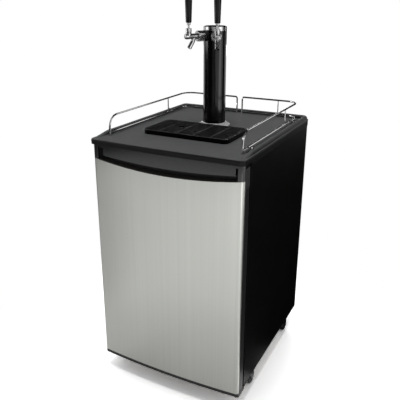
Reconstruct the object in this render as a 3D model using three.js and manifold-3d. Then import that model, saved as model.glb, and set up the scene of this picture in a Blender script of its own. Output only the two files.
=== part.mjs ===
// A freestanding keg cooler: a tall black refrigerator on casters with a bowed steel door, a moulded
// worktop with a guard rail, a drip tray, and a column tower that carries two lever taps.
// Millimetres, +Z up, the door faces -Y. The origin is on the floor under the middle of the worktop.
import * as THREE from "three";
import { mergeVertices } from "three/addons/utils/BufferGeometryUtils.js";
import Module from "manifold-3d";

const wasm = await Module();
wasm.setup();

// Driving dimensions of the whole cooler.
const DECK_HEIGHT = 852;
const FLOOR_GAP = 65;
const CABINET_WIDTH = 514;
const WORKTOP_DEPTH = 616;
const TOWER_DIAMETER = 76;
const TOWER_HEIGHT = 329;
const SEAT_GAP = 0.3;
const CUT_OVERRUN = 2;
const CURVE_STEPS = 16;
const BOW_STEPS = 12;
const CORNER_STEPS = 4;

// Flat sides of the round pieces, and steps round the bends of the thin tubes.
const FACETS = {
  notch: 5,
  bead: 6,
  rod: 8,
  pin: 10,
  spindle: 12,
  hinge: 14,
  shank: 16,
  nut: 18,
  wheel: 20,
  flange: 24,
  tower: 28,
};
const BEND_STEPS = { short: 2, long: 3 };

const worktop = {
  sideOverhang: 5.5,
  frontOverhang: 66,
  backOverhang: 8,
  slab: 12,
  rib: 5,
  ribWidth: 6,
  ribInset: 30,
  ribPitch: 120,
  skirtDrop: 24,
  skirtWall: 4.5,
  skirtLap: 6,
  skirtStep: 0.5,
  frontCorner: 16,
  backCorner: 24,
  frontBulge: 4.6,
  edgeRound: 5,
  rimWidth: 18,
  rimInset: 4,
  rimHeight: 10.5,
  rimRoot: 3,
  rimFront: 12,
  rimRun: 72,
  rimEase: 60,
  rimDip: 11,
  grooveWidth: 8,
  grooveLap: 1,
  grooveDepth: 2,
  ductRadius: 30,
  towerSeat: 0.5,
  towerSeatGap: 1,
};

const cabinet = {
  sheet: 1.2,
  frontReturn: 16,
  frontHead: 29,
  backReturn: 20,
  backRecess: 22,
  backHole: 6,
  glandHeight: 55,
  basePan: 2,
  bayDepth: 112,
  bayHeight: 220,
  bayLining: 1.2,
  bossRadius: 9,
  bossInset: 70,
};

const liner = {
  wall: 2,
  sideInset: 42,
  floorInset: 43,
  headInset: 53,
  backInset: 42,
  humpHeight: 245,
  humpWall: 40,
  flangeLap: 0.6,
};

const floorPlate = { sheet: 2, sideGap: 10, frontGap: 12, rearGap: 5, beadRadius: 3, beadInset: 50 };
const evaporator = {
  width: 300,
  height: 260,
  plate: 1.6,
  topGap: 46,
  standoff: 5,
  post: 6,
  cornerInset: 18,
  tube: 3.5,
  runs: 5,
  tubeInset: 24,
};
const thermostat = {
  width: 90,
  depth: 90,
  height: 36,
  fromDoor: 62,
  fromSide: 60,
  knobDiameter: 30,
  knobDepth: 16,
  ridgeWidth: 6,
  ridgeHeight: 3,
  shaft: 3,
  shaftLength: 10,
  bossGap: 0.4,
};

const compressor = {
  depth: 96,
  width: 142,
  height: 144,
  plateLength: 176,
  plateWidth: 78,
  plate: 4,
  grommetHeight: 7,
  grommetRadius: 9,
  grommetInset: 10,
  shellLift: 3,
  backGap: 6,
  pedestalShare: 0.7,
  pedestalSink: 12,
  stubRadius: 4.5,
  stubHeight: 14,
  stubSpread: 40,
  stubSink: 30,
};
const relay = { depth: 34, width: 52, height: 56, rise: 40, round: 6, sink: 8 };
const condenser = {
  tube: 3,
  runs: 8,
  sideInset: 62,
  topInset: 34,
  bottomRise: 45,
  liftShare: 0.5,
  depthInRecess: 10,
  tightBend: 9,
  endBend: 4.2,
};
const suction = { tube: 4, bend: 8, sideStep: 52, forwardStep: 24, riseShare: 0.45 };
const gland = { rim: 8.5, neck: 5.7, bore: 3.6, outside: 4, inside: 3.4 };

const door = {
  thickness: 40,
  bulge: 11,
  gasketGap: 10,
  bottomDrop: 6,
  topGap: 2,
  trimHeight: 11,
  skin: 1,
  skinReturn: 9,
  skinLip: 7,
  cornerRound: 9,
  sideReveal: 1,
  frameWall: 2.5,
  frameFlange: 35,
  headFlange: 10.5,
  dykeInset: 16,
  dykeWidth: 10,
  dykeHeight: 13,
  dykeRise: 18,
  gasketWidth: 16,
  gasketInset: 14,
  gasketDrop: 31,
  gasketRise: 14,
  trimWall: 3,
  trimBoss: 10,
};
const cap = {
  edgeDrop: 45,
  archSag: 19.5,
  visorEdgeDrop: 29,
  visorSag: 12.4,
  visorWall: 4.5,
  pocketHalf: 239,
  gripGap: 22,
  hingeGap: 7,
  roof: 8,
  backWall: 16,
  floor: 4,
  pinHole: 4.3,
  pinDepth: 22,
};
const hinge = {
  sideInset: 11,
  frontInset: 16,
  pin: 4,
  pinLength: 21,
  plate: 3,
  topLength: 96,
  topInside: 40,
  topOutside: 8,
  frontLap: 6,
  bottomInside: 23,
  bottomOutside: 13,
  bottomFrontLap: 12,
  bottomReach: 30,
  bottomDrop: 2,
  shoulder: 6.5,
  bottomPin: 10,
  pinHead: 7,
  pinHeadDrop: 8,
};

const rail = {
  sideInset: 34.5,
  backInset: 40,
  frontInset: 68,
  height: 61,
  lowerHeight: 9,
  wire: 3,
  post: 2,
  frontBend: 36,
  cornerBend: 40,
  postBend: 7,
  centreGap: 21,
  sidePostBack: 144,
  backPostSide: 152,
  tabLength: 22,
  tabWidth: 10,
  tab: 2,
  tabFront: 27,
  tabBack: 106,
  screw: 3,
  screwHeight: 1.6,
  socket: 4.6,
  socketDepth: 1.6,
};

const tower = {
  backOfTray: 139,
  wall: 1.5,
  flangeDiameter: 109,
  flangeHeight: 12,
  flangeBore: 0.4,
  capHeight: 16,
  capDome: 2.5,
  capPlug: 3,
  capWall: 2,
};

const faucet = {
  spread: 59,
  axisHeight: 298,
  leverReach: 102,
  shankRadius: 11,
  shankBore: 4,
  shankInner: 25,
  shankOuter: 50,
  threadGap: 0.4,
  collarRadius: 17.5,
  collarReach: 46,
  nutRadius: 17,
  nutLength: 24.6,
  nutSeat: 3.7,
  nutLip: 3.5,
  nutChamfer: 1.5,
  nutNotches: 9,
  nutNotch: 1.8,
  nutBore: 13.4,
  collarStart: 28,
  collarChamfer: 1.2,
  tail: 13,
  tailLength: 16.8,
  neck: 9,
  barrel: 8.4,
  bore: 6.6,
  noseRadius: 9.2,
  noseLength: 14,
  noseRound: 4,
  noseWall: 4,
  columnTop: 11,
  column: 9.2,
  columnBore: 5.7,
  slotWidth: 6.4,
  slotTopReach: 7.6,
  slotFootReach: 10.6,
  slotFoot: 6,
  spoutBack: 20,
  spoutKneeBack: 15.5,
  spoutKneeDrop: 16,
  spoutTipBack: 1.5,
  spoutDrop: 37,
  spoutBend: 20,
  spout: 7,
  spoutBore: 4.6,
  bonnet: 9.4,
  bonnetRim: 9,
  bonnetHeight: 13.7,
  bonnetChamfer: 0.8,
  bonnetBore: 6.1,
  bonnetMouth: 7.4,
  bonnetMouthDepth: 3.5,
  bonnetFoot: 7.9,
  bonnetFootDepth: 2,
  pivotHeight: 19,
  ball: 5.4,
  tipRod: 2.2,
  tipOverrun: 3,
  stem: 2.9,
  ferrule: 6.2,
  ferruleHeight: 7,
  ferruleChamfer: 1.2,
  handleBase: 42,
  stud: 3.5,
  studLength: 14,
  plungerRod: 2.6,
  plungerRadius: 6.2,
  plungerHeadBack: 40,
  plungerHeadLength: 4,
  plungerBlockHalf: 8,
  plungerSlotHalf: 4.3,
  plungerSlotWidth: 6,
  plungerSlotFoot: 4.4,
  plungerFlat: 2,
};
const handle = {
  height: 154,
  bottomRadius: 9.3,
  topRadius: 13.8,
  crown: 9,
  chamfer: 1,
  boreGap: 0.5,
  boreDepth: 16,
};

const tray = {
  width: 300,
  depth: 166,
  height: 14,
  corner: 20,
  frontInset: 217,
  wall: 3.8,
  rim: 1.8,
  floor: 2,
  ledge: 3.6,
};
const grille = {
  plate: 2.7,
  edgeGap: 0.5,
  dividers: [30, 90],
  slotRows: 11,
  slotWidth: 5,
  dividerWidth: 8,
  margin: 10,
  holeRadius: 10,
  holeX: -54,
  holeY: 9,
};

const caster = {
  sideInset: 21,
  frontInset: 86,
  rearInset: 105,
  trail: 18,
  wheelRadius: 25,
  wheelWidth: 20,
  treadRound: 3,
  hubRadius: 12,
  hubRecess: 2,
  axle: 4,
  axleGap: 0.4,
  plateSize: 40,
  plate: 3,
  race: 17,
  raceHeight: 3,
  kingpin: 4,
  kingpinGap: 0.4,
  rivet: 7,
  rivetHeight: 1.6,
  rivetGap: 1.6,
  crown: 16,
  crownHeight: 4.6,
  leg: 2.5,
  legGap: 1.6,
  legEnd: 8,
  legFront: 10,
  legBack: 13,
};

// Heights and depths that several pieces share.
const HALF_WIDTH = CABINET_WIDTH / 2;
const CABINET_TOP = DECK_HEIGHT - worktop.slab - worktop.rib;
const BACK_Y = WORKTOP_DEPTH / 2 - worktop.backOverhang;
const FRONT_Y = -WORKTOP_DEPTH / 2 + worktop.frontOverhang;
const WORKTOP_HALF = HALF_WIDTH + worktop.sideOverhang;
const DOOR_BACK_Y = FRONT_Y - door.gasketGap;
const DOOR_EDGE_Y = DOOR_BACK_Y - door.thickness;
const DOOR_FRONT_Y = DOOR_EDGE_Y - door.bulge;
const DOOR_HALF = HALF_WIDTH + door.sideReveal;
const DOOR_BOTTOM = FLOOR_GAP - door.bottomDrop;
const DOOR_TOP = CABINET_TOP - door.topGap;
const SKIN_BOTTOM = DOOR_BOTTOM + door.trimHeight;
const FRAME_TOP = DOOR_TOP - cap.edgeDrop - cap.archSag - cap.floor;
const HINGE_X = HALF_WIDTH - hinge.sideInset;
const HINGE_Y = DOOR_EDGE_Y + hinge.frontInset;
const SHELL_INSIDE = HALF_WIDTH - cabinet.sheet - SEAT_GAP;
const PAN_TOP = FLOOR_GAP + cabinet.basePan;
const BACK_PANEL_Y = BACK_Y - cabinet.backRecess;
const BAY_Y = BACK_Y - cabinet.bayDepth;
const BAY_TOP = FLOOR_GAP + cabinet.bayHeight;
const CABIN_HALF = HALF_WIDTH - liner.sideInset;
const CABIN_FLOOR = FLOOR_GAP + liner.floorInset;
const CABIN_TOP = CABINET_TOP - liner.headInset;
const CABIN_BACK = BACK_PANEL_Y - liner.backInset;
const HUMP_TOP = FLOOR_GAP + liner.humpHeight;
const HUMP_Y = BAY_Y - liner.humpWall;
const TRAY_Y = -WORKTOP_DEPTH / 2 + tray.frontInset;
const TOWER_Y = TRAY_Y + tower.backOfTray;
const TOWER_RADIUS = TOWER_DIAMETER / 2;
const TOWER_FOOT = DECK_HEIGHT - worktop.towerSeat + SEAT_GAP;
const TOWER_TOP = DECK_HEIGHT + TOWER_HEIGHT;
const TUBE_TOP = TOWER_TOP - tower.capHeight;
const TAP_AXIS_Z = DECK_HEIGHT + faucet.axisHeight;
const TAP_ANGLES = [-faucet.spread / 2, faucet.spread / 2].map(THREE.MathUtils.degToRad);
const RIM_INSIDE = worktop.rimInset + worktop.rimWidth;
const RIM_FRONT_Y = -WORKTOP_DEPTH / 2 + worktop.rimFront;
const RIM_LEVEL_Y = RIM_FRONT_Y + worktop.rimRun;
const RAIL_FRONT_Y = -WORKTOP_DEPTH / 2 + rail.frontInset;
const RAIL_BACK_Y = WORKTOP_DEPTH / 2 - rail.backInset;
const RAIL_X = WORKTOP_HALF - rail.sideInset;
const CASTER_ROWS = [
  ["front", FRONT_Y + caster.frontInset],
  ["rear", BACK_Y - caster.rearInset],
];
const GLAND_X = HALF_WIDTH - cabinet.backReturn / 2;
const GLAND_Z = FLOOR_GAP + cabinet.glandHeight;
const COMPRESSOR_Z = PAN_TOP + SEAT_GAP + compressor.grommetHeight + compressor.plate;
const COMPRESSOR_TOP = COMPRESSOR_Z + compressor.shellLift + compressor.height;
const COMPRESSOR_Y = BACK_Y - compressor.depth / 2 - compressor.backGap;
const STUB_TOP = COMPRESSOR_TOP + compressor.stubHeight + SEAT_GAP;
const COIL_HALF = HALF_WIDTH - condenser.sideInset;
const COIL_Y = BACK_PANEL_Y + condenser.depthInRecess;
const COIL_TOP = CABINET_TOP - condenser.topInset;
const COIL_BOTTOM = BAY_TOP + condenser.bottomRise;
const THERMOSTAT = [
  CABIN_HALF - thermostat.fromSide,
  FRONT_Y + thermostat.fromDoor,
  CABIN_TOP - SEAT_GAP - thermostat.height / 2,
];
const CASTER_PLATE_Z = FLOOR_GAP - SEAT_GAP - caster.plate;
const CROWN_TOP = CASTER_PLATE_Z - caster.raceHeight - SEAT_GAP;

// Shares of a radius and a height, from the bottom up.
const SHELL_PROFILE_SHARES = [
  [0, 0],
  [0.55, 0],
  [0.8, 0.06],
  [0.93, 0.2],
  [0.95, 0.46],
  [1, 0.47],
  [1, 0.51],
  [0.95, 0.52],
  [0.92, 0.74],
  [0.79, 0.9],
  [0.5, 0.985],
  [0, 1],
];
const FLANGE_PROFILE_SHARES = [
  [0, 0],
  [1, 0],
  [1, 0.25],
  [0.88, 0.45],
  [0.45, 0.7],
  [0.12, 0.86],
  [0.06, 1],
  [0, 1],
  [0, 0],
];
const CAP_CROWN_SHARE = 0.82;
const NOSE_SHARES = [0.3, 0.3];
const BALL_SHARES = [
  [0.87, -0.5],
  [1, 0],
  [0.87, 0.5],
];
const CROWN_SHARES = [
  [0.93, 0.38],
  [0.74, 0.72],
  [0.42, 0.93],
];
const LEG_ANGLES = [-2.6, -1.9, -1.2, -0.5, 0.1];
const SIDES = ["left", "right"];

// The two bowed outlines: the worktop's and the door's.
const WORKTOP_PLAN = {
  half: WORKTOP_HALF,
  frontY: -WORKTOP_DEPTH / 2,
  bulge: worktop.frontBulge,
  backY: WORKTOP_DEPTH / 2,
  frontRadius: worktop.frontCorner,
  backRadius: worktop.backCorner,
};
const DOOR_PLAN = {
  half: DOOR_HALF,
  frontY: DOOR_FRONT_Y,
  bulge: door.bulge,
  backY: DOOR_BACK_Y,
  frontRadius: door.cornerRound,
  backRadius: 0,
};

const FINISHES = {
  blackPaint: { color: 0x1c1c1d, roughness: 0.42, metalness: 0.2 },
  blackPlastic: { color: 0x242427, roughness: 0.5, metalness: 0 },
  greyPlastic: { color: 0x3c3c3e, roughness: 0.55, metalness: 0 },
  whitePlastic: { color: 0xe6e7e4, roughness: 0.45, metalness: 0 },
  worktopPlastic: { color: 0x4a4c4b, roughness: 0.38, metalness: 0 },
  brushedSteel: { color: 0xb4b4b0, roughness: 0.38, metalness: 1 },
  chrome: { color: 0xd6d7d9, roughness: 0.12, metalness: 1 },
  zincSteel: { color: 0x9b9d9f, roughness: 0.45, metalness: 1 },
  aluminium: { color: 0xb9bbbd, roughness: 0.4, metalness: 1 },
  copper: { color: 0xb5714a, roughness: 0.35, metalness: 1 },
  rubber: { color: 0x1a1a1a, roughness: 0.85, metalness: 0 },
  foam: { color: 0xd9c68c, roughness: 0.95, metalness: 0 },
};

// Turns a closed three.js geometry into a solid, whichever way its faces were wound.
function solidOf(geometry) {
  const bare = geometry.clone();
  bare.deleteAttribute("normal");
  bare.deleteAttribute("uv");
  const merged = mergeVertices(bare);
  const corners = [];
  for (let i = 0; i < merged.index.count; i += 3) {
    const face = [0, 1, 2].map((k) => merged.index.getX(i + k));
    if (new Set(face).size === 3) corners.push(...face);
  }
  if (enclosedVolume(merged.attributes.position, corners) < 0) corners.reverse();
  return new wasm.Manifold(
    new wasm.Mesh({
      numProp: 3,
      vertProperties: Float32Array.from(merged.attributes.position.array),
      triVerts: Uint32Array.from(corners),
    }),
  );
}

// The signed volume inside a list of triangles.
function enclosedVolume(position, corners) {
  const [a, b, c] = [new THREE.Vector3(), new THREE.Vector3(), new THREE.Vector3()];
  let volume = 0;
  for (let i = 0; i < corners.length; i += 3) {
    a.fromBufferAttribute(position, corners[i]);
    b.fromBufferAttribute(position, corners[i + 1]);
    c.fromBufferAttribute(position, corners[i + 2]);
    volume += a.dot(b.cross(c)) / 6;
  }
  return volume;
}

// Turns a solid back into a geometry that a mesh can show.
function geometryOf(solid) {
  const mesh = solid.getMesh();
  const geometry = new THREE.BufferGeometry();
  geometry.setAttribute("position", new THREE.BufferAttribute(mesh.vertProperties, mesh.numProp));
  geometry.setIndex(new THREE.BufferAttribute(mesh.triVerts, 1));
  geometry.computeVertexNormals();
  return geometry;
}

function join(...geometries) {
  return geometryOf(geometries.map(solidOf).reduce((sum, next) => sum.add(next)));
}

function cut(base, ...tools) {
  return geometryOf(tools.map(solidOf).reduce((rest, tool) => rest.subtract(tool), solidOf(base)));
}

function common(first, second) {
  return geometryOf(solidOf(first).intersect(solidOf(second)));
}

// A box between two x, two y and two z planes.
function block([x0, x1], [y0, y1], [z0, z1]) {
  const geometry = new THREE.BoxGeometry(x1 - x0, y1 - y0, z1 - z0);
  return geometry.translate((x0 + x1) / 2, (y0 + y1) / 2, (z0 + z1) / 2);
}

// A shape drawn in x and y, raised from z0 to z1.
function raised(shape, [z0, z1]) {
  const geometry = new THREE.ExtrudeGeometry(shape, {
    depth: z1 - z0,
    bevelEnabled: false,
    curveSegments: CORNER_STEPS,
  });
  return geometry.translate(0, 0, z0);
}

// An outline of [x, z] points, drawn out from y0 to y1.
function drawnAlongY(points, [y0, y1]) {
  const shape = new THREE.Shape(points.map(([x, z]) => new THREE.Vector2(x, z)));
  const geometry = new THREE.ExtrudeGeometry(shape, { depth: y1 - y0, bevelEnabled: false });
  return geometry.rotateX(Math.PI / 2).translate(0, y1, 0);
}

// An outline of [y, z] points, drawn out from x0 to x1.
function drawnAlongX(points, [x0, x1]) {
  const shape = new THREE.Shape(points.map(([y, z]) => new THREE.Vector2(y, z)));
  const geometry = new THREE.ExtrudeGeometry(shape, { depth: x1 - x0, bevelEnabled: false });
  return geometry.rotateX(Math.PI / 2).rotateZ(Math.PI / 2).translate(x0, 0, 0);
}

// A profile of [radius, height] points turned about the Z axis.
function turned(profile, sides = CURVE_STEPS) {
  const geometry = new THREE.LatheGeometry(profile.map(([r, z]) => new THREE.Vector2(r, z)), sides);
  return geometry.rotateX(Math.PI / 2);
}

// A round bar about the Z axis, from z0 to z1.
function bar(radius, [z0, z1], sides = CURVE_STEPS) {
  return turned([[0, z0], [radius, z0], [radius, z1], [0, z1]], sides);
}

// A ring about the Z axis, from z0 to z1.
function ring(inner, outer, [z0, z1], sides = CURVE_STEPS) {
  return turned([[inner, z0], [outer, z0], [outer, z1], [inner, z1], [inner, z0]], sides);
}

// Lays a geometry made about the Z axis along +X instead.
function layAlongX(geometry) {
  return geometry.rotateY(Math.PI / 2);
}

// A path through stations, so that a tube along it has one ring at each of them.
class StationPath extends THREE.Curve {
  constructor(stations) {
    super();
    this.stations = stations;
  }

  getPoint(t, target = new THREE.Vector3()) {
    const place = Math.min(Math.max(t, 0), 1) * (this.stations.length - 1);
    const from = Math.min(Math.floor(place), this.stations.length - 2);
    return target.lerpVectors(this.stations[from], this.stations[from + 1], place - from);
  }

  getUtoTmapping(u) {
    return u;
  }
}

// The stations of a run through corners, with a round bend of the given radius at each inner one.
function bentRun(corners, bends, steps = CORNER_STEPS) {
  const points = corners.map((corner) => new THREE.Vector3(...corner));
  const stations = [points[0]];
  bends.forEach((radius, i) => {
    const corner = points[i + 1];
    const back = points[i].clone().sub(corner).normalize();
    const ahead = points[i + 2].clone().sub(corner).normalize();
    const half = back.angleTo(ahead) / 2;
    const start = corner.clone().addScaledVector(back, radius / Math.tan(half));
    const middle = back.clone().add(ahead).normalize().multiplyScalar(radius / Math.sin(half)).add(corner);
    const arm = start.clone().sub(middle);
    const forward = back.clone().multiplyScalar(-radius);
    for (let k = 0; k <= steps; k++) {
      const turn = ((Math.PI - 2 * half) * k) / steps;
      const along = forward.clone().multiplyScalar(Math.sin(turn));
      stations.push(middle.clone().addScaledVector(arm, Math.cos(turn)).add(along));
    }
  });
  return [...stations, points[points.length - 1]];
}

// A round wire that follows a bent run.
function wire(corners, bends, radius, sides = FACETS.rod, steps = CORNER_STEPS) {
  const stations = bentRun(corners, bends, steps);
  const section = new THREE.Shape();
  for (let i = 0; i < sides; i++) {
    const angle = (2 * Math.PI * i) / sides;
    const [x, y] = [radius * Math.cos(angle), radius * Math.sin(angle)];
    if (i === 0) section.moveTo(x, y);
    else section.lineTo(x, y);
  }
  return sweep(section, stations);
}

// A section carried along stations.
function sweep(section, stations) {
  return new THREE.ExtrudeGeometry(section, {
    steps: stations.length - 1,
    bevelEnabled: false,
    extrudePath: new StationPath(stations),
  });
}

// A plan outline with a bowed front, straight sides and rounded corners, drawn in by an inset.
function bowedPlan(plan, inset = 0, rearY = plan.backY - inset) {
  const { half, frontY, bulge, frontRadius, backRadius } = plan;
  const front = Math.max(frontRadius - inset, 0);
  const back = Math.max(backRadius - inset, 0);
  const flat = half - inset - front;
  const rear = half - inset - back;
  const bow = (x) => frontY + inset + bulge * (x / half) ** 2;
  const points = [];
  for (let i = 0; i <= BOW_STEPS; i++) {
    const x = flat * ((2 * i) / BOW_STEPS - 1);
    points.push([x, bow(x)]);
  }
  const corner = (x, y, radius, quarter) => {
    const steps = radius > 0 ? CORNER_STEPS : 0;
    const last = quarter === 3 ? steps - 1 : steps;
    for (let k = quarter === 0 ? 1 : 0; k <= last; k++) {
      const angle = ((quarter - 1 + k / Math.max(steps, 1)) * Math.PI) / 2;
      points.push([x + radius * Math.cos(angle), y + radius * Math.sin(angle)]);
    }
  };
  corner(flat, bow(flat) + front, front, 0);
  corner(rear, rearY - back, back, 1);
  corner(-rear, rearY - back, back, 2);
  corner(-flat, bow(flat) + front, front, 3);
  return new THREE.Shape(points.map(([x, y]) => new THREE.Vector2(x, y)));
}

// A rounded rectangle about the origin, drawn in by an inset.
function roundedPlan(width, depth, radius, inset = 0) {
  const [x, y, r] = [width / 2 - inset, depth / 2 - inset, Math.max(radius - inset, 0)];
  const points = [];
  for (let quarter = 0; quarter < 4; quarter++) {
    const [sideX, sideY] = [quarter === 0 || quarter === 3 ? 1 : -1, quarter < 2 ? 1 : -1];
    for (let k = 0; k <= CORNER_STEPS; k++) {
      const angle = ((quarter + k / CORNER_STEPS) * Math.PI) / 2;
      const [dx, dy] = [r * Math.cos(angle), r * Math.sin(angle)];
      points.push(new THREE.Vector2(sideX * (x - r) + dx, sideY * (y - r) + dy));
    }
  }
  return new THREE.Shape(points);
}

const cooler = new THREE.Group();
cooler.name = "keg_cooler";

// Adds one named piece to its group.
function addPiece(name, geometry, finish, group = cooler) {
  const material = new THREE.MeshStandardMaterial(FINISHES[finish]);
  const mesh = new THREE.Mesh(geometryOf(solidOf(geometry)), material);
  mesh.name = name;
  group.add(mesh);
}

// The round duct that cold air and the drink lines take from the cabin up into the tower.
function ductCut([z0, z1]) {
  return bar(worktop.ductRadius, [z0 - CUT_OVERRUN, z1 + CUT_OVERRUN]).translate(0, TOWER_Y, 0);
}

// The cabinet's side view in [y, z]: a box with the machine bay stepped out of its rear corner.
function steppedOutline(frontY, backY, bottom, top, stepY, stepZ) {
  return [[frontY, bottom], [stepY, bottom], [stepY, stepZ], [backY, stepZ], [backY, top], [frontY, top]];
}

function cabinetShell() {
  const side = [-HALF_WIDTH, HALF_WIDTH];
  const inner = [-HALF_WIDTH + cabinet.sheet, HALF_WIDTH - cabinet.sheet];
  const window = [-HALF_WIDTH + cabinet.frontReturn, HALF_WIDTH - cabinet.frontReturn];
  const rearWindow = [-HALF_WIDTH + cabinet.backReturn, HALF_WIDTH - cabinet.backReturn];
  const [below, headBottom] = [FLOOR_GAP - CUT_OVERRUN, CABINET_TOP - cabinet.frontHead];
  const hole = bar(cabinet.backHole, [BACK_Y - cabinet.backReturn, BACK_Y + CUT_OVERRUN])
    .rotateX(-Math.PI / 2)
    .translate(GLAND_X, 0, GLAND_Z);
  return cut(
    block(side, [FRONT_Y, BACK_Y], [FLOOR_GAP, CABINET_TOP]),
    block(inner, [FRONT_Y + cabinet.sheet, BACK_Y - cabinet.sheet], [below, CABINET_TOP - cabinet.sheet]),
    block(window, [FRONT_Y - CUT_OVERRUN, FRONT_Y + cabinet.frontReturn], [below, headBottom]),
    block(rearWindow, [BACK_PANEL_Y, BACK_Y + CUT_OVERRUN], [below, CABINET_TOP - cabinet.backReturn]),
    hole,
    ductCut([CABINET_TOP - cabinet.sheet, CABINET_TOP]),
  );
}

function basePan() {
  const depth = [FRONT_Y + cabinet.sheet + SEAT_GAP, BACK_Y - cabinet.sheet - SEAT_GAP];
  return block([-SHELL_INSIDE, SHELL_INSIDE], depth, [FLOOR_GAP, PAN_TOP]);
}

function insulationFoam() {
  const front = FRONT_Y + liner.wall + SEAT_GAP;
  const top = CABINET_TOP - cabinet.sheet - SEAT_GAP;
  const outside = steppedOutline(front, BACK_PANEL_Y - SEAT_GAP, PAN_TOP + SEAT_GAP, top, BAY_Y, BAY_TOP);
  const wall = liner.wall + SEAT_GAP;
  const cavity = cabinOutline(wall, front - CUT_OVERRUN);
  return cut(
    drawnAlongX(outside, [-SHELL_INSIDE, SHELL_INSIDE]),
    drawnAlongX(cavity, [-CABIN_HALF - wall, CABIN_HALF + wall]),
    ductCut([CABIN_TOP, top]),
  );
}

// The cabin's side view, grown by a wall: a tall keg space with a raised step at the rear.
function cabinOutline(wall, frontY) {
  return [
    [frontY, CABIN_FLOOR - wall],
    [HUMP_Y + wall, CABIN_FLOOR - wall],
    [HUMP_Y + wall, HUMP_TOP - wall],
    [CABIN_BACK + wall, HUMP_TOP - wall],
    [CABIN_BACK + wall, CABIN_TOP + wall],
    [frontY, CABIN_TOP + wall],
  ];
}

function innerLiner() {
  const flangeHalf = HALF_WIDTH - cabinet.frontReturn - liner.flangeLap;
  const flangeHeight = [PAN_TOP + SEAT_GAP, CABINET_TOP - cabinet.frontHead - liner.flangeLap];
  const tubHalf = CABIN_HALF + liner.wall;
  const tub = drawnAlongX(cabinOutline(liner.wall, FRONT_Y), [-tubHalf, tubHalf]);
  const flange = block([-flangeHalf, flangeHalf], [FRONT_Y, FRONT_Y + liner.wall], flangeHeight);
  return cut(
    join(tub, flange),
    drawnAlongX(cabinOutline(0, FRONT_Y - CUT_OVERRUN), [-CABIN_HALF, CABIN_HALF]),
    ductCut([CABIN_TOP, CABIN_TOP + liner.wall]),
  );
}

function backPanel() {
  const sheet = [BACK_PANEL_Y, BACK_PANEL_Y + cabinet.sheet];
  const height = [BAY_TOP + SEAT_GAP, CABINET_TOP - cabinet.sheet - SEAT_GAP];
  const panel = block([-SHELL_INSIDE, SHELL_INSIDE], sheet, height);
  const bosses = [];
  for (const side of [-1, 1]) {
    for (const run of [1, condenser.runs - 2]) {
      const boss = bar(cabinet.bossRadius, [0, COIL_Y - condenser.tube - SEAT_GAP - BACK_PANEL_Y]);
      boss.rotateX(-Math.PI / 2);
      bosses.push(boss.translate(side * (COIL_HALF - cabinet.bossInset), BACK_PANEL_Y, coilHeight(run)));
    }
  }
  return join(panel, ...bosses);
}

function bayLining() {
  const inner = BAY_Y + SEAT_GAP;
  const under = BAY_TOP - SEAT_GAP;
  const outline = [
    [inner, PAN_TOP + SEAT_GAP],
    [inner + cabinet.bayLining, PAN_TOP + SEAT_GAP],
    [inner + cabinet.bayLining, under - cabinet.bayLining],
    [BACK_PANEL_Y + cabinet.sheet, under - cabinet.bayLining],
    [BACK_PANEL_Y + cabinet.sheet, under],
    [inner, under],
  ];
  return drawnAlongX(outline, [-SHELL_INSIDE, SHELL_INSIDE]);
}

function kegFloorPlate() {
  const half = CABIN_HALF - floorPlate.sideGap;
  const depth = [FRONT_Y + floorPlate.frontGap, HUMP_Y - floorPlate.rearGap];
  const bottom = CABIN_FLOOR + SEAT_GAP;
  const sheet = block([-half, half], depth, [bottom, bottom + floorPlate.sheet]);
  const length = [depth[0] + floorPlate.beadInset, depth[1] - floorPlate.beadInset];
  const beads = [-1, 1].map((side) => {
    const bead = bar(floorPlate.beadRadius, length, FACETS.bead).rotateX(-Math.PI / 2);
    return bead.translate(side * (half - floorPlate.beadInset), 0, bottom + floorPlate.beadRadius);
  });
  return join(sheet, ...beads);
}

function evaporatorPlate() {
  const half = evaporator.width / 2;
  const back = CABIN_BACK - evaporator.standoff;
  const top = CABIN_TOP - evaporator.topGap;
  const bottom = top - evaporator.height;
  const plate = block([-half, half], [back - evaporator.plate, back], [bottom, top]);
  const pieces = [];
  for (const x of [-half + evaporator.cornerInset, half - evaporator.cornerInset]) {
    for (const z of [bottom + evaporator.cornerInset, top - evaporator.cornerInset]) {
      const post = bar(evaporator.post, [back - evaporator.plate, CABIN_BACK - SEAT_GAP], FACETS.rod);
      pieces.push(post.rotateX(-Math.PI / 2).translate(x, 0, z));
    }
  }
  const [reach, rise] = [half - evaporator.tubeInset, evaporator.height - 2 * evaporator.tubeInset];
  const height = (run) => bottom + evaporator.tubeInset + (rise * run) / (evaporator.runs - 1);
  const corners = serpentine(evaporator.runs, reach, back - evaporator.plate, height);
  const bend = rise / (evaporator.runs - 1) / 2;
  const bends = corners.slice(2).map(() => bend - SEAT_GAP);
  pieces.push(wire(corners, bends, evaporator.tube, FACETS.bead, BEND_STEPS.short));
  return join(plate, ...pieces);
}

// Corners of a tube that runs to and fro across a plate, climbing one step at each end.
function serpentine(runs, reach, y, height) {
  const corners = [];
  for (let run = 0; run < runs; run++) {
    const side = run % 2 === 0 ? 1 : -1;
    corners.push([side * reach, y, height(run)], [-side * reach, y, height(run)]);
  }
  return corners;
}

function thermostatHousing() {
  const [x, y, z] = THERMOSTAT;
  const shape = roundedPlan(thermostat.width, thermostat.height, thermostat.ridgeWidth);
  const body = raised(shape, [0, thermostat.depth]).rotateX(-Math.PI / 2).translate(x, y, z);
  const depth = [-CUT_OVERRUN, thermostat.shaftLength + CUT_OVERRUN];
  const hole = bar(thermostat.shaft + thermostat.bossGap, depth, FACETS.spindle);
  return cut(body, hole.rotateX(-Math.PI / 2).translate(x, y, z));
}

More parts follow.
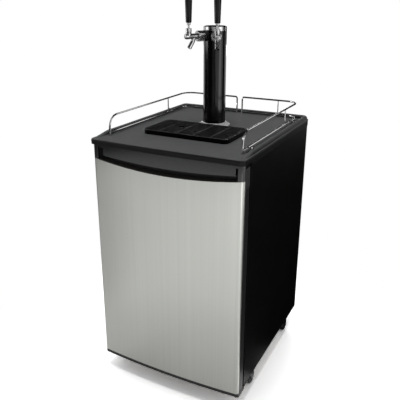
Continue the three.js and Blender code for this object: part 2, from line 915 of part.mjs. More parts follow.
function thermostatKnob() {
  const [x, y, z] = THERMOSTAT;
  const radius = thermostat.knobDiameter / 2;
  const skirt = bar(radius, [-thermostat.knobDepth / 2, -SEAT_GAP]);
  const ridge = block(
    [-radius + SEAT_GAP, radius - SEAT_GAP],
    [-thermostat.ridgeWidth / 2, thermostat.ridgeWidth / 2],
    [-thermostat.knobDepth, -thermostat.ridgeHeight],
  );
  const shaft = bar(thermostat.shaft, [-thermostat.ridgeHeight, thermostat.shaftLength], FACETS.spindle);
  return join(skirt, ridge, shaft).rotateX(-Math.PI / 2).translate(x, y, z);
}

// The compressor's oval steel pot, grown by a margin, about its own middle.
function compressorShell(margin = 0) {
  const radius = compressor.depth / 2;
  const bottom = COMPRESSOR_Z + compressor.shellLift;
  const profile = SHELL_PROFILE_SHARES.map(([r, z]) => [
    r > 0 ? r * radius + margin : 0,
    bottom + z * compressor.height,
  ]);
  return turned(profile).scale(compressor.width / compressor.depth, 1, 1);
}

function compressorPod() {
  const bottom = COMPRESSOR_Z + compressor.shellLift;
  const [halfX, halfY] = [compressor.plateLength / 2, compressor.plateWidth / 2];
  const plate = block([-halfX, halfX], [-halfY, halfY], [COMPRESSOR_Z - compressor.plate, COMPRESSOR_Z]);
  const pedestal = bar((compressor.depth / 2) * compressor.pedestalShare, [
    COMPRESSOR_Z - SEAT_GAP,
    bottom + compressor.pedestalSink,
  ]);
  const pieces = [plate, pedestal];
  for (const x of [-1, 1]) {
    for (const y of [-1, 1]) {
      const height = [PAN_TOP + SEAT_GAP, COMPRESSOR_Z - SEAT_GAP];
      const foot = bar(compressor.grommetRadius, height, FACETS.pin);
      const inset = compressor.grommetInset;
      pieces.push(foot.translate(x * (halfX - inset), y * (halfY - inset), 0));
    }
    const height = [COMPRESSOR_TOP - compressor.stubSink, COMPRESSOR_TOP + compressor.stubHeight];
    pieces.push(bar(compressor.stubRadius, height, FACETS.pin).translate(x * compressor.stubSpread, 0, 0));
  }
  return join(compressorShell(), ...pieces).translate(0, COMPRESSOR_Y, 0);
}

function relayCover() {
  const middle = COMPRESSOR_Z + compressor.shellLift + relay.rise + relay.height / 2;
  const box = raised(roundedPlan(relay.width, relay.height, relay.round), [-relay.sink, relay.depth]);
  layAlongX(box).rotateX(Math.PI / 2).translate(compressor.width / 2, 0, middle);
  return cut(box, compressorShell(SEAT_GAP)).translate(0, COMPRESSOR_Y, 0);
}

// The height of one run of the condenser behind the back panel.
function coilHeight(run) {
  return COIL_BOTTOM + ((COIL_TOP - COIL_BOTTOM) * run) / (condenser.runs - 1);
}

function condenserCoil() {
  const pitch = (COIL_TOP - COIL_BOTTOM) / (condenser.runs - 1);
  const lift = STUB_TOP + (BAY_TOP - STUB_TOP) * condenser.liftShare;
  const coil = serpentine(condenser.runs, COIL_HALF, COIL_Y, coilHeight);
  const corners = [
    [compressor.stubSpread, COMPRESSOR_Y, STUB_TOP],
    [compressor.stubSpread, COMPRESSOR_Y, lift],
    [compressor.stubSpread, COIL_Y, lift],
    [COIL_HALF, COIL_Y, lift],
    ...coil,
    [coil[coil.length - 1][0], BACK_PANEL_Y + cabinet.sheet + SEAT_GAP, COIL_TOP],
  ];
  const bend = pitch / 2 - SEAT_GAP;
  const bends = corners.slice(2).map((_, i) => (i < 2 ? condenser.tightBend : bend));
  bends[bends.length - 1] = condenser.endBend;
  return wire(corners, bends, condenser.tube, FACETS.bead, BEND_STEPS.short);
}

function suctionLine() {
  const roof = BAY_TOP - SEAT_GAP - cabinet.bayLining - SEAT_GAP;
  const level = STUB_TOP + (roof - STUB_TOP) * suction.riseShare;
  const [x, end] = [-compressor.stubSpread, -compressor.stubSpread - suction.sideStep];
  const corners = [
    [x, COMPRESSOR_Y, STUB_TOP],
    [x, COMPRESSOR_Y, level],
    [end, COMPRESSOR_Y - suction.forwardStep, level],
    [end, COMPRESSOR_Y - suction.forwardStep, roof],
  ];
  return wire(corners, [suction.bend, suction.bend], suction.tube);
}

function cordGland() {
  const [outer, sheet, inner] = [gland.outside, SEAT_GAP, cabinet.sheet + SEAT_GAP];
  const profile = [
    [gland.bore, outer],
    [gland.rim, outer],
    [gland.rim, sheet],
    [gland.neck, sheet],
    [gland.neck, -inner],
    [gland.rim, -inner],
    [gland.rim, -inner - gland.inside],
    [gland.bore, -inner - gland.inside],
    [gland.bore, outer],
  ];
  return turned(profile, FACETS.shank).rotateX(-Math.PI / 2).translate(GLAND_X, BACK_Y, GLAND_Z);
}

function worktopMoulding() {
  const slabBottom = DECK_HEIGHT - worktop.slab;
  const skirtBottom = DECK_HEIGHT - worktop.skirtDrop;
  const slab = new THREE.ExtrudeGeometry(bowedPlan(WORKTOP_PLAN, worktop.edgeRound), {
    depth: worktop.slab - 2 * worktop.edgeRound,
    bevelThickness: worktop.edgeRound,
    bevelSize: worktop.edgeRound,
    bevelSegments: 2,
  }).translate(0, 0, slabBottom + worktop.edgeRound);
  const skirt = raised(bowedPlan(WORKTOP_PLAN, worktop.skirtStep), [
    skirtBottom,
    slabBottom + worktop.skirtLap,
  ]);
  const hollow = raised(bowedPlan(WORKTOP_PLAN, worktop.skirtWall), [
    skirtBottom - CUT_OVERRUN,
    slabBottom + SEAT_GAP,
  ]);
  const doorway = block(
    [-WORKTOP_HALF - CUT_OVERRUN, WORKTOP_HALF + CUT_OVERRUN],
    [-WORKTOP_DEPTH / 2 - CUT_OVERRUN, FRONT_Y - CUT_OVERRUN],
    [skirtBottom - CUT_OVERRUN, CABINET_TOP],
  );
  const housing = block(
    [-HALF_WIDTH - 2 * SEAT_GAP, HALF_WIDTH + 2 * SEAT_GAP],
    [FRONT_Y, BACK_Y + 2 * SEAT_GAP],
    [skirtBottom - CUT_OVERRUN, CABINET_TOP + SEAT_GAP],
  );
  const grooved = cut(join(slab, skirt), hollow, doorway, housing, worktopGroove());
  const ribbed = join(grooved, ...worktopRibs(), worktopRim());
  return cut(ribbed, ductCut([CABINET_TOP, DECK_HEIGHT]), towerSeat(), ...railSockets());
}

// A shallow round seat in the deck that centres the tower's flange.
function towerSeat() {
  const radius = tower.flangeDiameter / 2 + worktop.towerSeatGap;
  const depth = [DECK_HEIGHT - worktop.towerSeat, DECK_HEIGHT + CUT_OVERRUN];
  return bar(radius, depth, FACETS.tower).translate(0, TOWER_Y, 0);
}

// Round sockets in the deck that take the ends of the rail's upper wires.
function railSockets() {
  const depth = [DECK_HEIGHT - rail.socketDepth, DECK_HEIGHT + CUT_OVERRUN];
  const feet = [
    [rail.centreGap / 2, RAIL_BACK_Y],
    [RAIL_X, RAIL_FRONT_Y],
  ];
  return feet.flatMap(([x, y]) =>
    [-x, x].map((side) => bar(rail.socket, depth, FACETS.spindle).translate(side, y, 0)),
  );
}

// Ribs under the deck that rest on the cabinet's roof.
function worktopRibs() {
  const half = HINGE_X - hinge.topInside - worktop.ribWidth;
  const height = [CABINET_TOP + SEAT_GAP, DECK_HEIGHT - worktop.slab + worktop.rib];
  const ribs = [];
  for (let y = FRONT_Y + worktop.ribInset; y < BACK_Y; y += worktop.ribPitch) {
    ribs.push(block([-half, half], [y, y + worktop.ribWidth], height));
  }
  return ribs;
}

// A shallow channel between the rim and the deck, on the two sides and the back.
function worktopGroove() {
  const depth = [DECK_HEIGHT - worktop.grooveDepth, DECK_HEIGHT + CUT_OVERRUN];
  const outer = raised(bowedPlan(WORKTOP_PLAN, RIM_INSIDE - worktop.grooveLap), depth);
  const inner = raised(bowedPlan(WORKTOP_PLAN, RIM_INSIDE + worktop.grooveWidth), [
    depth[0] - CUT_OVERRUN,
    depth[1] + CUT_OVERRUN,
  ]);
  const front = block(
    [-WORKTOP_HALF, WORKTOP_HALF],
    [-WORKTOP_DEPTH / 2 - CUT_OVERRUN, RIM_LEVEL_Y],
    [depth[0] - CUT_OVERRUN, depth[1] + CUT_OVERRUN],
  );
  return cut(outer, inner, front);
}

// A raised half-round rim that climbs out of the deck near the front and runs round the back.
function worktopRim() {
  const half = worktop.rimWidth / 2;
  const section = new THREE.Shape();
  section.moveTo(-half, -worktop.rimRoot - CUT_OVERRUN);
  section.lineTo(half, -worktop.rimRoot - CUT_OVERRUN);
  for (let k = 0; k <= 2 * CORNER_STEPS; k++) {
    const angle = (Math.PI * k) / (2 * CORNER_STEPS);
    section.lineTo(half * Math.cos(angle), worktop.rimHeight * Math.sin(angle));
  }
  const inset = worktop.rimInset + half;
  const [x, y] = [WORKTOP_HALF - inset, WORKTOP_DEPTH / 2 - inset];
  const low = DECK_HEIGHT - worktop.rimDip;
  const corners = [
    [-x, RIM_FRONT_Y, low],
    [-x, RIM_LEVEL_Y, DECK_HEIGHT],
    [-x, y, DECK_HEIGHT],
    [x, y, DECK_HEIGHT],
    [x, RIM_LEVEL_Y, DECK_HEIGHT],
    [x, RIM_FRONT_Y, low],
  ];
  const turn = worktop.backCorner - inset;
  const path = bentRun(corners, [worktop.rimEase, turn, turn, worktop.rimEase]);
  const above = [DECK_HEIGHT - worktop.rimRoot, DECK_HEIGHT + worktop.rimHeight + CUT_OVERRUN];
  return common(sweep(section, path), raised(bowedPlan(WORKTOP_PLAN), above));
}

// One half of the guard rail, drawn on the left: two wires, a front bend, posts and screw tabs.
function guardRailHalf() {
  const [x, front, back] = [RAIL_X, RAIL_FRONT_Y, RAIL_BACK_Y];
  const foot = DECK_HEIGHT - rail.socketDepth + SEAT_GAP;
  const [upper, lower] = [DECK_HEIGHT + rail.height, DECK_HEIGHT + rail.lowerHeight];
  const gap = rail.centreGap / 2;
  const top = wire(
    [[-gap, back, foot], [-gap, back, upper], [-x, back, upper], [-x, front, upper], [-x, front, foot]],
    [rail.postBend, rail.cornerBend, rail.frontBend],
    rail.wire,
  );
  const run = [[-gap, back, lower], [-x, back, lower], [-x, front, lower]];
  const bottom = wire(run, [rail.cornerBend], rail.wire);
  const posts = [[-x, back - rail.sidePostBack], [-rail.backPostSide, back]].map(([px, py]) =>
    bar(rail.post, [lower, upper], FACETS.rod).translate(px, py, 0),
  );
  const rimTop = DECK_HEIGHT + worktop.rimHeight + SEAT_GAP;
  const half = rail.tabWidth / 2;
  const screw = [rimTop, rimTop + rail.tab + rail.screwHeight];
  const tabs = [front + rail.tabFront, back - rail.tabBack].flatMap((y) => [
    block([-x - rail.tabLength, -x], [y - half, y + half], [rimTop, rimTop + rail.tab]),
    bar(rail.screw, screw, FACETS.rod).translate(-x - rail.tabLength + half, y, 0),
  ]);
  return join(top, bottom, ...posts, ...tabs);
}

function towerFlange() {
  const base = TOWER_FOOT;
  const bore = TOWER_RADIUS + tower.flangeBore;
  const foot = tower.flangeDiameter / 2;
  const profile = FLANGE_PROFILE_SHARES.map(([r, z]) => [
    bore + (foot - bore) * r,
    base + tower.flangeHeight * z,
  ]);
  return turned(profile, FACETS.flange).translate(0, TOWER_Y, 0);
}

function towerTube() {
  const height = [TOWER_FOOT + SEAT_GAP, TUBE_TOP];
  const tube = ring(TOWER_RADIUS - tower.wall, TOWER_RADIUS, height, FACETS.tower);
  const holes = TAP_ANGLES.map((angle) => {
    const reach = [faucet.shankInner, TOWER_RADIUS + CUT_OVERRUN];
    const hole = bar(faucet.shankRadius + faucet.threadGap, reach);
    return layAlongX(hole).rotateZ(angle - Math.PI / 2).translate(0, 0, TAP_AXIS_Z);
  });
  return cut(tube, ...holes).translate(0, TOWER_Y, 0);
}

function towerCap() {
  const base = TUBE_TOP + SEAT_GAP;
  const plug = TOWER_RADIUS - tower.wall - SEAT_GAP;
  const edge = TOWER_TOP - tower.capDome;
  const profile = [
    [0, TOWER_TOP],
    [TOWER_RADIUS * CAP_CROWN_SHARE, TOWER_TOP - tower.capDome * (1 - CAP_CROWN_SHARE)],
    [TOWER_RADIUS, edge],
    [TOWER_RADIUS, base],
    [plug, base],
    [plug, base - tower.capPlug],
    [plug - tower.capWall, base - tower.capPlug],
    [plug - tower.capWall, edge - tower.capWall],
    [0, edge - tower.capWall],
  ];
  return turned(profile, FACETS.tower).translate(0, TOWER_Y, 0);
}

// One tap is drawn about the tower's axis: +X runs out along the tap and z = 0 is its bore's axis.
function shankTube() {
  const reach = [faucet.shankInner, faucet.shankOuter];
  return layAlongX(ring(faucet.shankBore, faucet.shankRadius, reach, FACETS.shank));
}

function shankCollar() {
  const [start, end] = [faucet.collarStart, faucet.collarReach];
  const profile = [
    [faucet.shankRadius + faucet.threadGap, start],
    [faucet.collarRadius, start],
    [faucet.collarRadius, end - faucet.collarChamfer],
    [faucet.collarRadius - faucet.collarChamfer, end],
    [faucet.shankRadius + faucet.threadGap, end],
    [faucet.shankRadius + faucet.threadGap, start],
  ];
  const half = faucet.collarRadius + CUT_OVERRUN;
  const tube = bar(TOWER_RADIUS + SEAT_GAP, [-half, half], FACETS.tower);
  return cut(layAlongX(turned(profile, FACETS.wheel)), tube);
}

function couplingNut() {
  const start = faucet.collarReach + faucet.threadGap;
  const end = start + faucet.nutLength;
  const [rim, chamfer, seat] = [faucet.nutRadius, faucet.nutChamfer, start + faucet.nutSeat];
  const [thread, throat] = [faucet.shankRadius + faucet.threadGap, faucet.neck + faucet.threadGap];
  const profile = [
    [thread, start],
    [rim - chamfer, start],
    [rim, start + chamfer],
    [rim, end - chamfer],
    [rim - chamfer, end],
    [throat, end],
    [throat, end - faucet.nutLip],
    [faucet.nutBore, end - faucet.nutLip],
    [faucet.nutBore, seat],
    [thread, seat],
    [thread, start],
  ];
  const notches = [];
  for (let i = 0; i < faucet.nutNotches; i++) {
    const angle = (2 * Math.PI * i) / faucet.nutNotches;
    const notch = bar(faucet.nutNotch, [start - CUT_OVERRUN, end + CUT_OVERRUN], FACETS.notch);
    notches.push(notch.translate(faucet.nutRadius, 0, 0).rotateZ(angle));
  }
  return layAlongX(cut(turned(profile, FACETS.nut), ...notches));
}

// The spout's centre line, carried past its tip by an overrun.
function spoutLine(overrun = 0) {
  const reach = faucet.leverReach;
  const knee = new THREE.Vector3(reach - faucet.spoutKneeBack, 0, -faucet.spoutKneeDrop);
  const tip = new THREE.Vector3(reach - faucet.spoutTipBack, 0, -faucet.spoutDrop);
  tip.addScaledVector(tip.clone().sub(knee).normalize(), overrun);
  return [[reach - faucet.spoutBack, 0, 0], knee.toArray(), tip.toArray()];
}

function faucetBody() {
  const reach = faucet.leverReach;
  const tailStart = faucet.shankOuter + faucet.threadGap;
  const tailEnd = tailStart + faucet.tailLength;
  const noseEnd = reach + faucet.noseLength;
  const straight = noseEnd - faucet.noseRound;
  const body = turned([
    [0, tailStart],
    [faucet.tail, tailStart],
    [faucet.tail, tailEnd],
    [faucet.neck, tailEnd],
    [faucet.neck, tailEnd + faucet.nutLip + 2 * faucet.nutChamfer],
    [faucet.barrel, tailEnd + 2 * faucet.nutLip + faucet.nutChamfer],
    [faucet.barrel, reach - faucet.column],
    [faucet.noseRadius, reach],
    [faucet.noseRadius, straight],
    [faucet.noseRadius - faucet.noseRound * NOSE_SHARES[0], noseEnd - faucet.noseRound * NOSE_SHARES[1]],
    [faucet.noseRadius - faucet.noseRound, noseEnd],
    [0, noseEnd],
  ]);
  const column = bar(faucet.column, [0, faucet.columnTop]).translate(reach, 0, 0);
  const bend = [faucet.spoutBend];
  const spout = wire(spoutLine(), bend, faucet.spout, FACETS.spindle, BEND_STEPS.long);
  const bore = layAlongX(bar(faucet.bore, [tailStart - CUT_OVERRUN, noseEnd - faucet.noseWall]));
  const well = bar(faucet.columnBore, [0, faucet.columnTop + CUT_OVERRUN]).translate(reach, 0, 0);
  const run = wire(spoutLine(CUT_OVERRUN), bend, faucet.spoutBore, FACETS.rod, BEND_STEPS.long);
  return cut(join(layAlongX(body), column, spout), bore, well, leverSlot(), run);
}

// A slot for the lever's lower end, which leans back towards the tower when the tap opens.
function leverSlot() {
  const [reach, top] = [faucet.leverReach, faucet.columnTop + CUT_OVERRUN];
  const lean = (faucet.slotFootReach - faucet.slotTopReach) / (faucet.columnTop - faucet.slotFoot);
  const outline = [
    [reach, 0],
    [reach, top],
    [reach - faucet.slotTopReach + lean * CUT_OVERRUN, top],
    [reach - faucet.slotFootReach, faucet.slotFoot],
    [reach - faucet.slotFootReach, 0],
  ];
  return drawnAlongY(outline, [-faucet.slotWidth / 2, faucet.slotWidth / 2]);
}

function faucetBonnet() {
  const base = faucet.columnTop + SEAT_GAP;
  const top = base + faucet.bonnetHeight;
  const profile = [
    [faucet.bonnetFoot, base],
    [faucet.bonnet - faucet.bonnetChamfer, base],
    [faucet.bonnet, base + faucet.bonnetChamfer],
    [faucet.bonnet, top - 2 * faucet.bonnetChamfer],
    [faucet.bonnetRim, top],
    [faucet.bonnetMouth, top],
    [faucet.bonnetBore, top - faucet.bonnetMouthDepth],
    [faucet.bonnetBore, base + faucet.bonnetFootDepth + faucet.bonnetChamfer],
    [faucet.bonnetFoot, base + faucet.bonnetFootDepth],
    [faucet.bonnetFoot, base],
  ];
  return turned(profile).translate(faucet.leverReach, 0, 0);
}

// The stem that the hand pulls: a ball in the bonnet, a rod down into the plunger, and a stud above.
function faucetLever() {
  const [ball, pivot, seat] = [faucet.ball, faucet.pivotHeight, faucet.handleBase - SEAT_GAP];
  const equator = BALL_SHARES.map(([r, z]) => [ball * r, pivot + ball * z]);
  const profile = [
    [0, -faucet.tipOverrun],
    [faucet.tipRod, -faucet.tipOverrun],
    [faucet.tipRod, pivot - ball],
    ...equator,
    [faucet.stem, pivot + ball],
    [faucet.stem, seat - faucet.ferruleHeight],
    [faucet.ferrule - faucet.ferruleChamfer, seat - faucet.ferruleHeight],
    [faucet.ferrule, seat - faucet.ferruleHeight + faucet.ferruleChamfer],
    [faucet.ferrule, seat],
    [faucet.stud, seat],
    [faucet.stud, seat + faucet.studLength],
    [0, seat + faucet.studLength],
  ];
  return turned(profile, FACETS.hinge);
}

function tapHandle() {
  const [base, bore] = [faucet.handleBase, faucet.stud + handle.boreGap];
  const top = base + handle.height;
  const profile = [
    [0, base + handle.boreDepth],
    [bore, base + handle.boreDepth],
    [bore, base],
    [handle.bottomRadius - handle.chamfer, base],
    [handle.bottomRadius, base + handle.chamfer],
    [handle.topRadius, top - handle.crown],
    ...CROWN_SHARES.map(([r, z]) => [handle.topRadius * r, top - handle.crown * (1 - z)]),
    [0, top],
  ];
  return turned(profile, FACETS.wheel);
}

function faucetPlunger() {
  const reach = faucet.leverReach;
  const headStart = reach - faucet.plungerHeadBack;
  const headEnd = headStart + faucet.plungerHeadLength;
  const [blockStart, blockEnd] = [reach - faucet.plungerBlockHalf, reach + faucet.plungerBlockHalf];
  const body = turned(
    [
      [0, headStart],
      [faucet.plungerRadius, headStart],
      [faucet.plungerRadius, headEnd],
      [faucet.plungerRod, headEnd],
      [faucet.plungerRod, blockStart],
      [faucet.plungerRadius, blockStart],
      [faucet.plungerRadius, blockEnd],
      [0, blockEnd],
    ],
    12,
  );
  const half = faucet.plungerSlotWidth / 2;
  const slot = block(
    [reach - faucet.plungerSlotHalf, reach + faucet.plungerSlotHalf],
    [-half, half],
    [-faucet.plungerSlotFoot, faucet.plungerRadius],
  );
  const flat = block(
    [blockStart, blockEnd + CUT_OVERRUN],
    [-faucet.plungerRadius, faucet.plungerRadius],
    [faucet.plungerFlat, faucet.plungerRadius + CUT_OVERRUN],
  );
  return cut(layAlongX(body), slot, flat);
}

function dripTray() {
  const base = DECK_HEIGHT + SEAT_GAP;
  const top = base + tray.height;
  const plan = (inset) => roundedPlan(tray.width, tray.depth, tray.corner, inset);
  return cut(
    raised(plan(0), [base, top]),
    raised(plan(tray.wall), [base + tray.floor, top + CUT_OVERRUN]),
    raised(plan(tray.rim), [top - tray.ledge, top + CUT_OVERRUN]),
  );
}

function dripGrille() {
  const base = DECK_HEIGHT + SEAT_GAP + tray.height - tray.ledge + SEAT_GAP;
  const inset = tray.rim + grille.edgeGap;
  const plan = roundedPlan(tray.width, tray.depth, tray.corner, inset);
  const [halfX, halfY] = [tray.width / 2 - inset - grille.margin, tray.depth / 2 - inset - grille.margin];
  const height = [base - CUT_OVERRUN, base + grille.plate + CUT_OVERRUN];
  const edges = [-1, 1].flatMap((side) => grille.dividers.map((x) => side * x)).sort((a, b) => a - b);
  const zones = [-halfX, ...edges, halfX].slice(0, -1).map((x, i, starts) => {
    const [isFirst, isLast] = [i === 0, i === starts.length - 1];
    const end = isLast ? halfX : starts[i + 1] - grille.dividerWidth / 2;
    return [isFirst ? x : x + grille.dividerWidth / 2, end];
  });
  const pitch = (2 * halfY) / grille.slotRows;
  const slots = zones.flatMap((zone) =>
    Array.from({ length: grille.slotRows }, (_, row) => {
      const y = -halfY + pitch * (row + 1 / 2);
      return block(zone, [y - grille.slotWidth / 2, y + grille.slotWidth / 2], height);
    }),
  );
  const hole = bar(grille.holeRadius, height).translate(grille.holeX, grille.holeY, 0);
  return cut(raised(plan, [base, base + grille.plate]), ...slots, hole);
}

function topHingeBracket() {
  const base = CABINET_TOP + SEAT_GAP;
  const frontY = HINGE_Y - hinge.frontLap;
  const plate = block(
    [HINGE_X - hinge.topInside, HINGE_X + hinge.topOutside],
    [frontY, frontY + hinge.topLength],
    [base, base + hinge.plate],
  );
  const pin = bar(hinge.pin, [base - hinge.pinLength, base + hinge.plate], FACETS.hinge);
  return join(plate, pin.translate(HINGE_X, HINGE_Y, 0));
}

function bottomHingeBracket() {
  const side = [HINGE_X - hinge.bottomInside, HINGE_X + hinge.bottomOutside];
  const plateTop = DOOR_BOTTOM - hinge.bottomDrop;
  const underside = FLOOR_GAP - SEAT_GAP;
  const shelf = block(side, [HINGE_Y - hinge.bottomFrontLap, FRONT_Y], [plateTop - hinge.plate, plateTop]);
  const web = block(side, [FRONT_Y - SEAT_GAP, FRONT_Y + hinge.plate], [plateTop - hinge.plate, underside]);
  const flange = block(side, [FRONT_Y, FRONT_Y + hinge.bottomReach], [underside - hinge.plate, underside]);
  const shoulder = bar(hinge.shoulder, [plateTop - hinge.plate, DOOR_BOTTOM - SEAT_GAP], FACETS.hinge);
  const pin = bar(hinge.pin, [plateTop - hinge.plate, DOOR_BOTTOM + hinge.bottomPin], FACETS.hinge);
  const headFoot = plateTop - hinge.plate - hinge.pinHeadDrop;
  const head = bar(hinge.pinHead, [headFoot, plateTop - SEAT_GAP], FACETS.hinge);
  const parts = [shoulder, pin, head].map((piece) => piece.translate(HINGE_X, HINGE_Y, 0));
  return join(shelf, web, flange, ...parts);
}

// The height of the steel's top edge, which sags towards the middle of the door.
function archHeight(x) {
  return DOOR_TOP - cap.edgeDrop - cap.archSag * (1 - (x / DOOR_HALF) ** 2);
}

// The height of the visor's lower edge, which sags the same way.
function visorHeight(x) {
  return DOOR_TOP - cap.visorEdgeDrop - cap.visorSag * (1 - (x / DOOR_HALF) ** 2);
}

// The space between two edges that run across the door, as deep as the door itself.
function doorBand(lowEdge, highEdge) {
  const points = [];
  const reach = DOOR_HALF + CUT_OVERRUN;
  for (let i = 0; i <= BOW_STEPS; i++) {
    const x = reach * ((2 * i) / BOW_STEPS - 1);
    points.push([x, lowEdge(x)]);
  }
  for (let i = BOW_STEPS; i >= 0; i--) {
    const x = reach * ((2 * i) / BOW_STEPS - 1);
    points.push([x, highEdge(x)]);
  }
  return drawnAlongY(points, [DOOR_FRONT_Y - CUT_OVERRUN, DOOR_BACK_Y + CUT_OVERRUN]);
}

function doorSkin() {
  const back = DOOR_EDGE_Y + door.skinReturn;
  const height = [SKIN_BOTTOM + SEAT_GAP, DOOR_TOP];
  const open = [height[0] - CUT_OVERRUN, DOOR_TOP + CUT_OVERRUN];
  const outer = raised(bowedPlan(DOOR_PLAN, 0, back), height);
  const wall = cut(outer, raised(bowedPlan(DOOR_PLAN, door.skin, back + CUT_OVERRUN), open));
  const below = doorBand(() => DOOR_BOTTOM, archHeight);
  const lip = cut(outer, raised(bowedPlan(DOOR_PLAN, door.skinLip, back + CUT_OVERRUN), open));
  const edge = doorBand((x) => archHeight(x) - door.skin, archHeight);
  return join(common(wall, below), common(lip, edge));
}

function doorFrame() {
  const front = DOOR_EDGE_Y + door.skinReturn + SEAT_GAP;
  const [bottom, top] = [SKIN_BOTTOM + SEAT_GAP, FRAME_TOP - SEAT_GAP];
  const half = DOOR_HALF - door.sideReveal / 2;
  const wall = door.frameWall;
  const panel = DOOR_HALF - door.frameFlange;
  return cut(
    block([-half, half], [front, DOOR_BACK_Y], [bottom, top]),
    block([wall - half, half - wall], [front - CUT_OVERRUN, DOOR_BACK_Y - wall], [bottom + wall, top - wall]),
    block(
      [-panel - SEAT_GAP, panel + SEAT_GAP],
      [front - CUT_OVERRUN, DOOR_BACK_Y + CUT_OVERRUN],
      [bottom + door.frameFlange - SEAT_GAP, top - door.headFlange + SEAT_GAP],
    ),
  );
}

function doorCore() {
  const seam = DOOR_EDGE_Y + door.skinReturn;
  const wall = door.frameWall + SEAT_GAP;
  const [half, back] = [DOOR_HALF - door.sideReveal / 2 - wall, DOOR_BACK_Y - wall];
  const outline = bowedPlan(DOOR_PLAN, door.skin + SEAT_GAP, seam).getPoints();
  const step = [[half, seam], [half, back], [-half, back], [-half, seam]];
  outline.splice(BOW_STEPS + CORNER_STEPS + 2, 0, ...step.map(([x, y]) => new THREE.Vector2(x, y)));
  return raised(new THREE.Shape(outline), [SKIN_BOTTOM + SEAT_GAP + wall, FRAME_TOP - SEAT_GAP - wall]);
}

function doorLiner() {
  const half = DOOR_HALF - door.frameFlange;
  const [bottom, top] = [SKIN_BOTTOM + SEAT_GAP + door.frameFlange, FRAME_TOP - SEAT_GAP - door.headFlange];
  const panel = block([-half, half], [DOOR_BACK_Y - door.frameWall, DOOR_BACK_Y], [bottom, top]);
  const outer = half - door.dykeInset;
  const inner = outer - door.dykeWidth;
  const [low, high] = [bottom + door.dykeRise, top - door.dykeInset];
  const dyke = cut(
    block([-outer, outer], [DOOR_BACK_Y - SEAT_GAP, DOOR_BACK_Y + door.dykeHeight], [low, high]),
    block(
      [-inner, inner],
      [DOOR_BACK_Y - CUT_OVERRUN, DOOR_BACK_Y + door.dykeHeight + CUT_OVERRUN],
      [low + door.dykeWidth, high - door.dykeWidth],
    ),
  );
  return join(panel, dyke);
}

function doorGasket() {
  const half = HALF_WIDTH - door.gasketInset;
  const [bottom, top] = [SKIN_BOTTOM + SEAT_GAP + door.gasketRise, DOOR_TOP - door.gasketDrop];
  const depth = [DOOR_BACK_Y + SEAT_GAP, FRONT_Y - SEAT_GAP];
  return cut(
    block([-half, half], depth, [bottom, top]),
    block(
      [-half + door.gasketWidth, half - door.gasketWidth],
      [depth[0] - CUT_OVERRUN, depth[1] + CUT_OVERRUN],
      [bottom + door.gasketWidth, top - door.gasketWidth],
    ),
  );
}

// The moulded top of the door: end blocks, a finger pocket, and a visor with cheeks that hangs in it.
function doorCap() {
  const height = [FRAME_TOP, DOOR_TOP];
  const gap = SEAT_GAP;
  const roof = DOOR_TOP - cap.roof;
  const [left, right] = [-cap.pocketHalf + cap.gripGap, cap.pocketHalf - cap.hingeGap];
  const whole = raised(bowedPlan(DOOR_PLAN), height);
  const upper = common(whole, doorBand((x) => archHeight(x) + gap, () => DOOR_TOP));
  const behindSkin = raised(bowedPlan(DOOR_PLAN, door.skin + gap), height);
  const lower = common(behindSkin, doorBand(() => FRAME_TOP, (x) => archHeight(x) - door.skin - gap));
  const core = raised(bowedPlan(DOOR_PLAN, door.skinLip + gap), height);
  const rear = block([-DOOR_HALF, DOOR_HALF], [DOOR_EDGE_Y + door.skinReturn + gap, DOOR_BACK_Y], height);
  const frontY = DOOR_FRONT_Y - CUT_OVERRUN;
  const pocket = common(
    block(
      [-cap.pocketHalf, cap.pocketHalf],
      [frontY, DOOR_BACK_Y - cap.backWall],
      [FRAME_TOP, roof],
    ),
    doorBand(archHeight, () => DOOR_TOP),
  );
  const sheet = cut(
    whole,
    raised(bowedPlan(DOOR_PLAN, cap.visorWall), [FRAME_TOP - CUT_OVERRUN, DOOR_TOP + CUT_OVERRUN]),
  );
  const visor = common(
    common(sheet, doorBand(visorHeight, () => roof + gap)),
    block([left, right], [frontY, DOOR_EDGE_Y + cap.visorWall], height),
  );
  const cheeks = common(
    common(whole, doorBand(visorHeight, () => roof + gap)),
    cut(
      block([left, right], [frontY, DOOR_BACK_Y - cap.backWall + gap], height),
      block(
        [left + cap.visorWall, right - cap.visorWall],
        [frontY - CUT_OVERRUN, DOOR_BACK_Y - cap.backWall + CUT_OVERRUN],
        [FRAME_TOP - CUT_OVERRUN, DOOR_TOP + CUT_OVERRUN],
      ),
    ),
  );
  const pin = bar(cap.pinHole, [DOOR_TOP - cap.pinDepth, DOOR_TOP + CUT_OVERRUN], FACETS.hinge);
  const body = cut(join(upper, lower, core, rear), pocket);
  return cut(join(body, visor, cheeks), pin.translate(HINGE_X, HINGE_Y, 0));
}

function doorBottomTrim() {
  const height = [DOOR_BOTTOM, SKIN_BOTTOM];
  const hollow = [DOOR_BOTTOM - CUT_OVERRUN, SKIN_BOTTOM - door.trimWall];
  const boss = bar(door.trimBoss, height, FACETS.shank).translate(HINGE_X, HINGE_Y, 0);
  const pin = bar(cap.pinHole, [DOOR_BOTTOM - CUT_OVERRUN, SKIN_BOTTOM + CUT_OVERRUN], FACETS.hinge);
  const whole = raised(bowedPlan(DOOR_PLAN), height);
  const shell = cut(whole, raised(bowedPlan(DOOR_PLAN, door.trimWall), hollow));
  return cut(join(shell, common(boss, whole)), pin.translate(HINGE_X, HINGE_Y, 0));
}

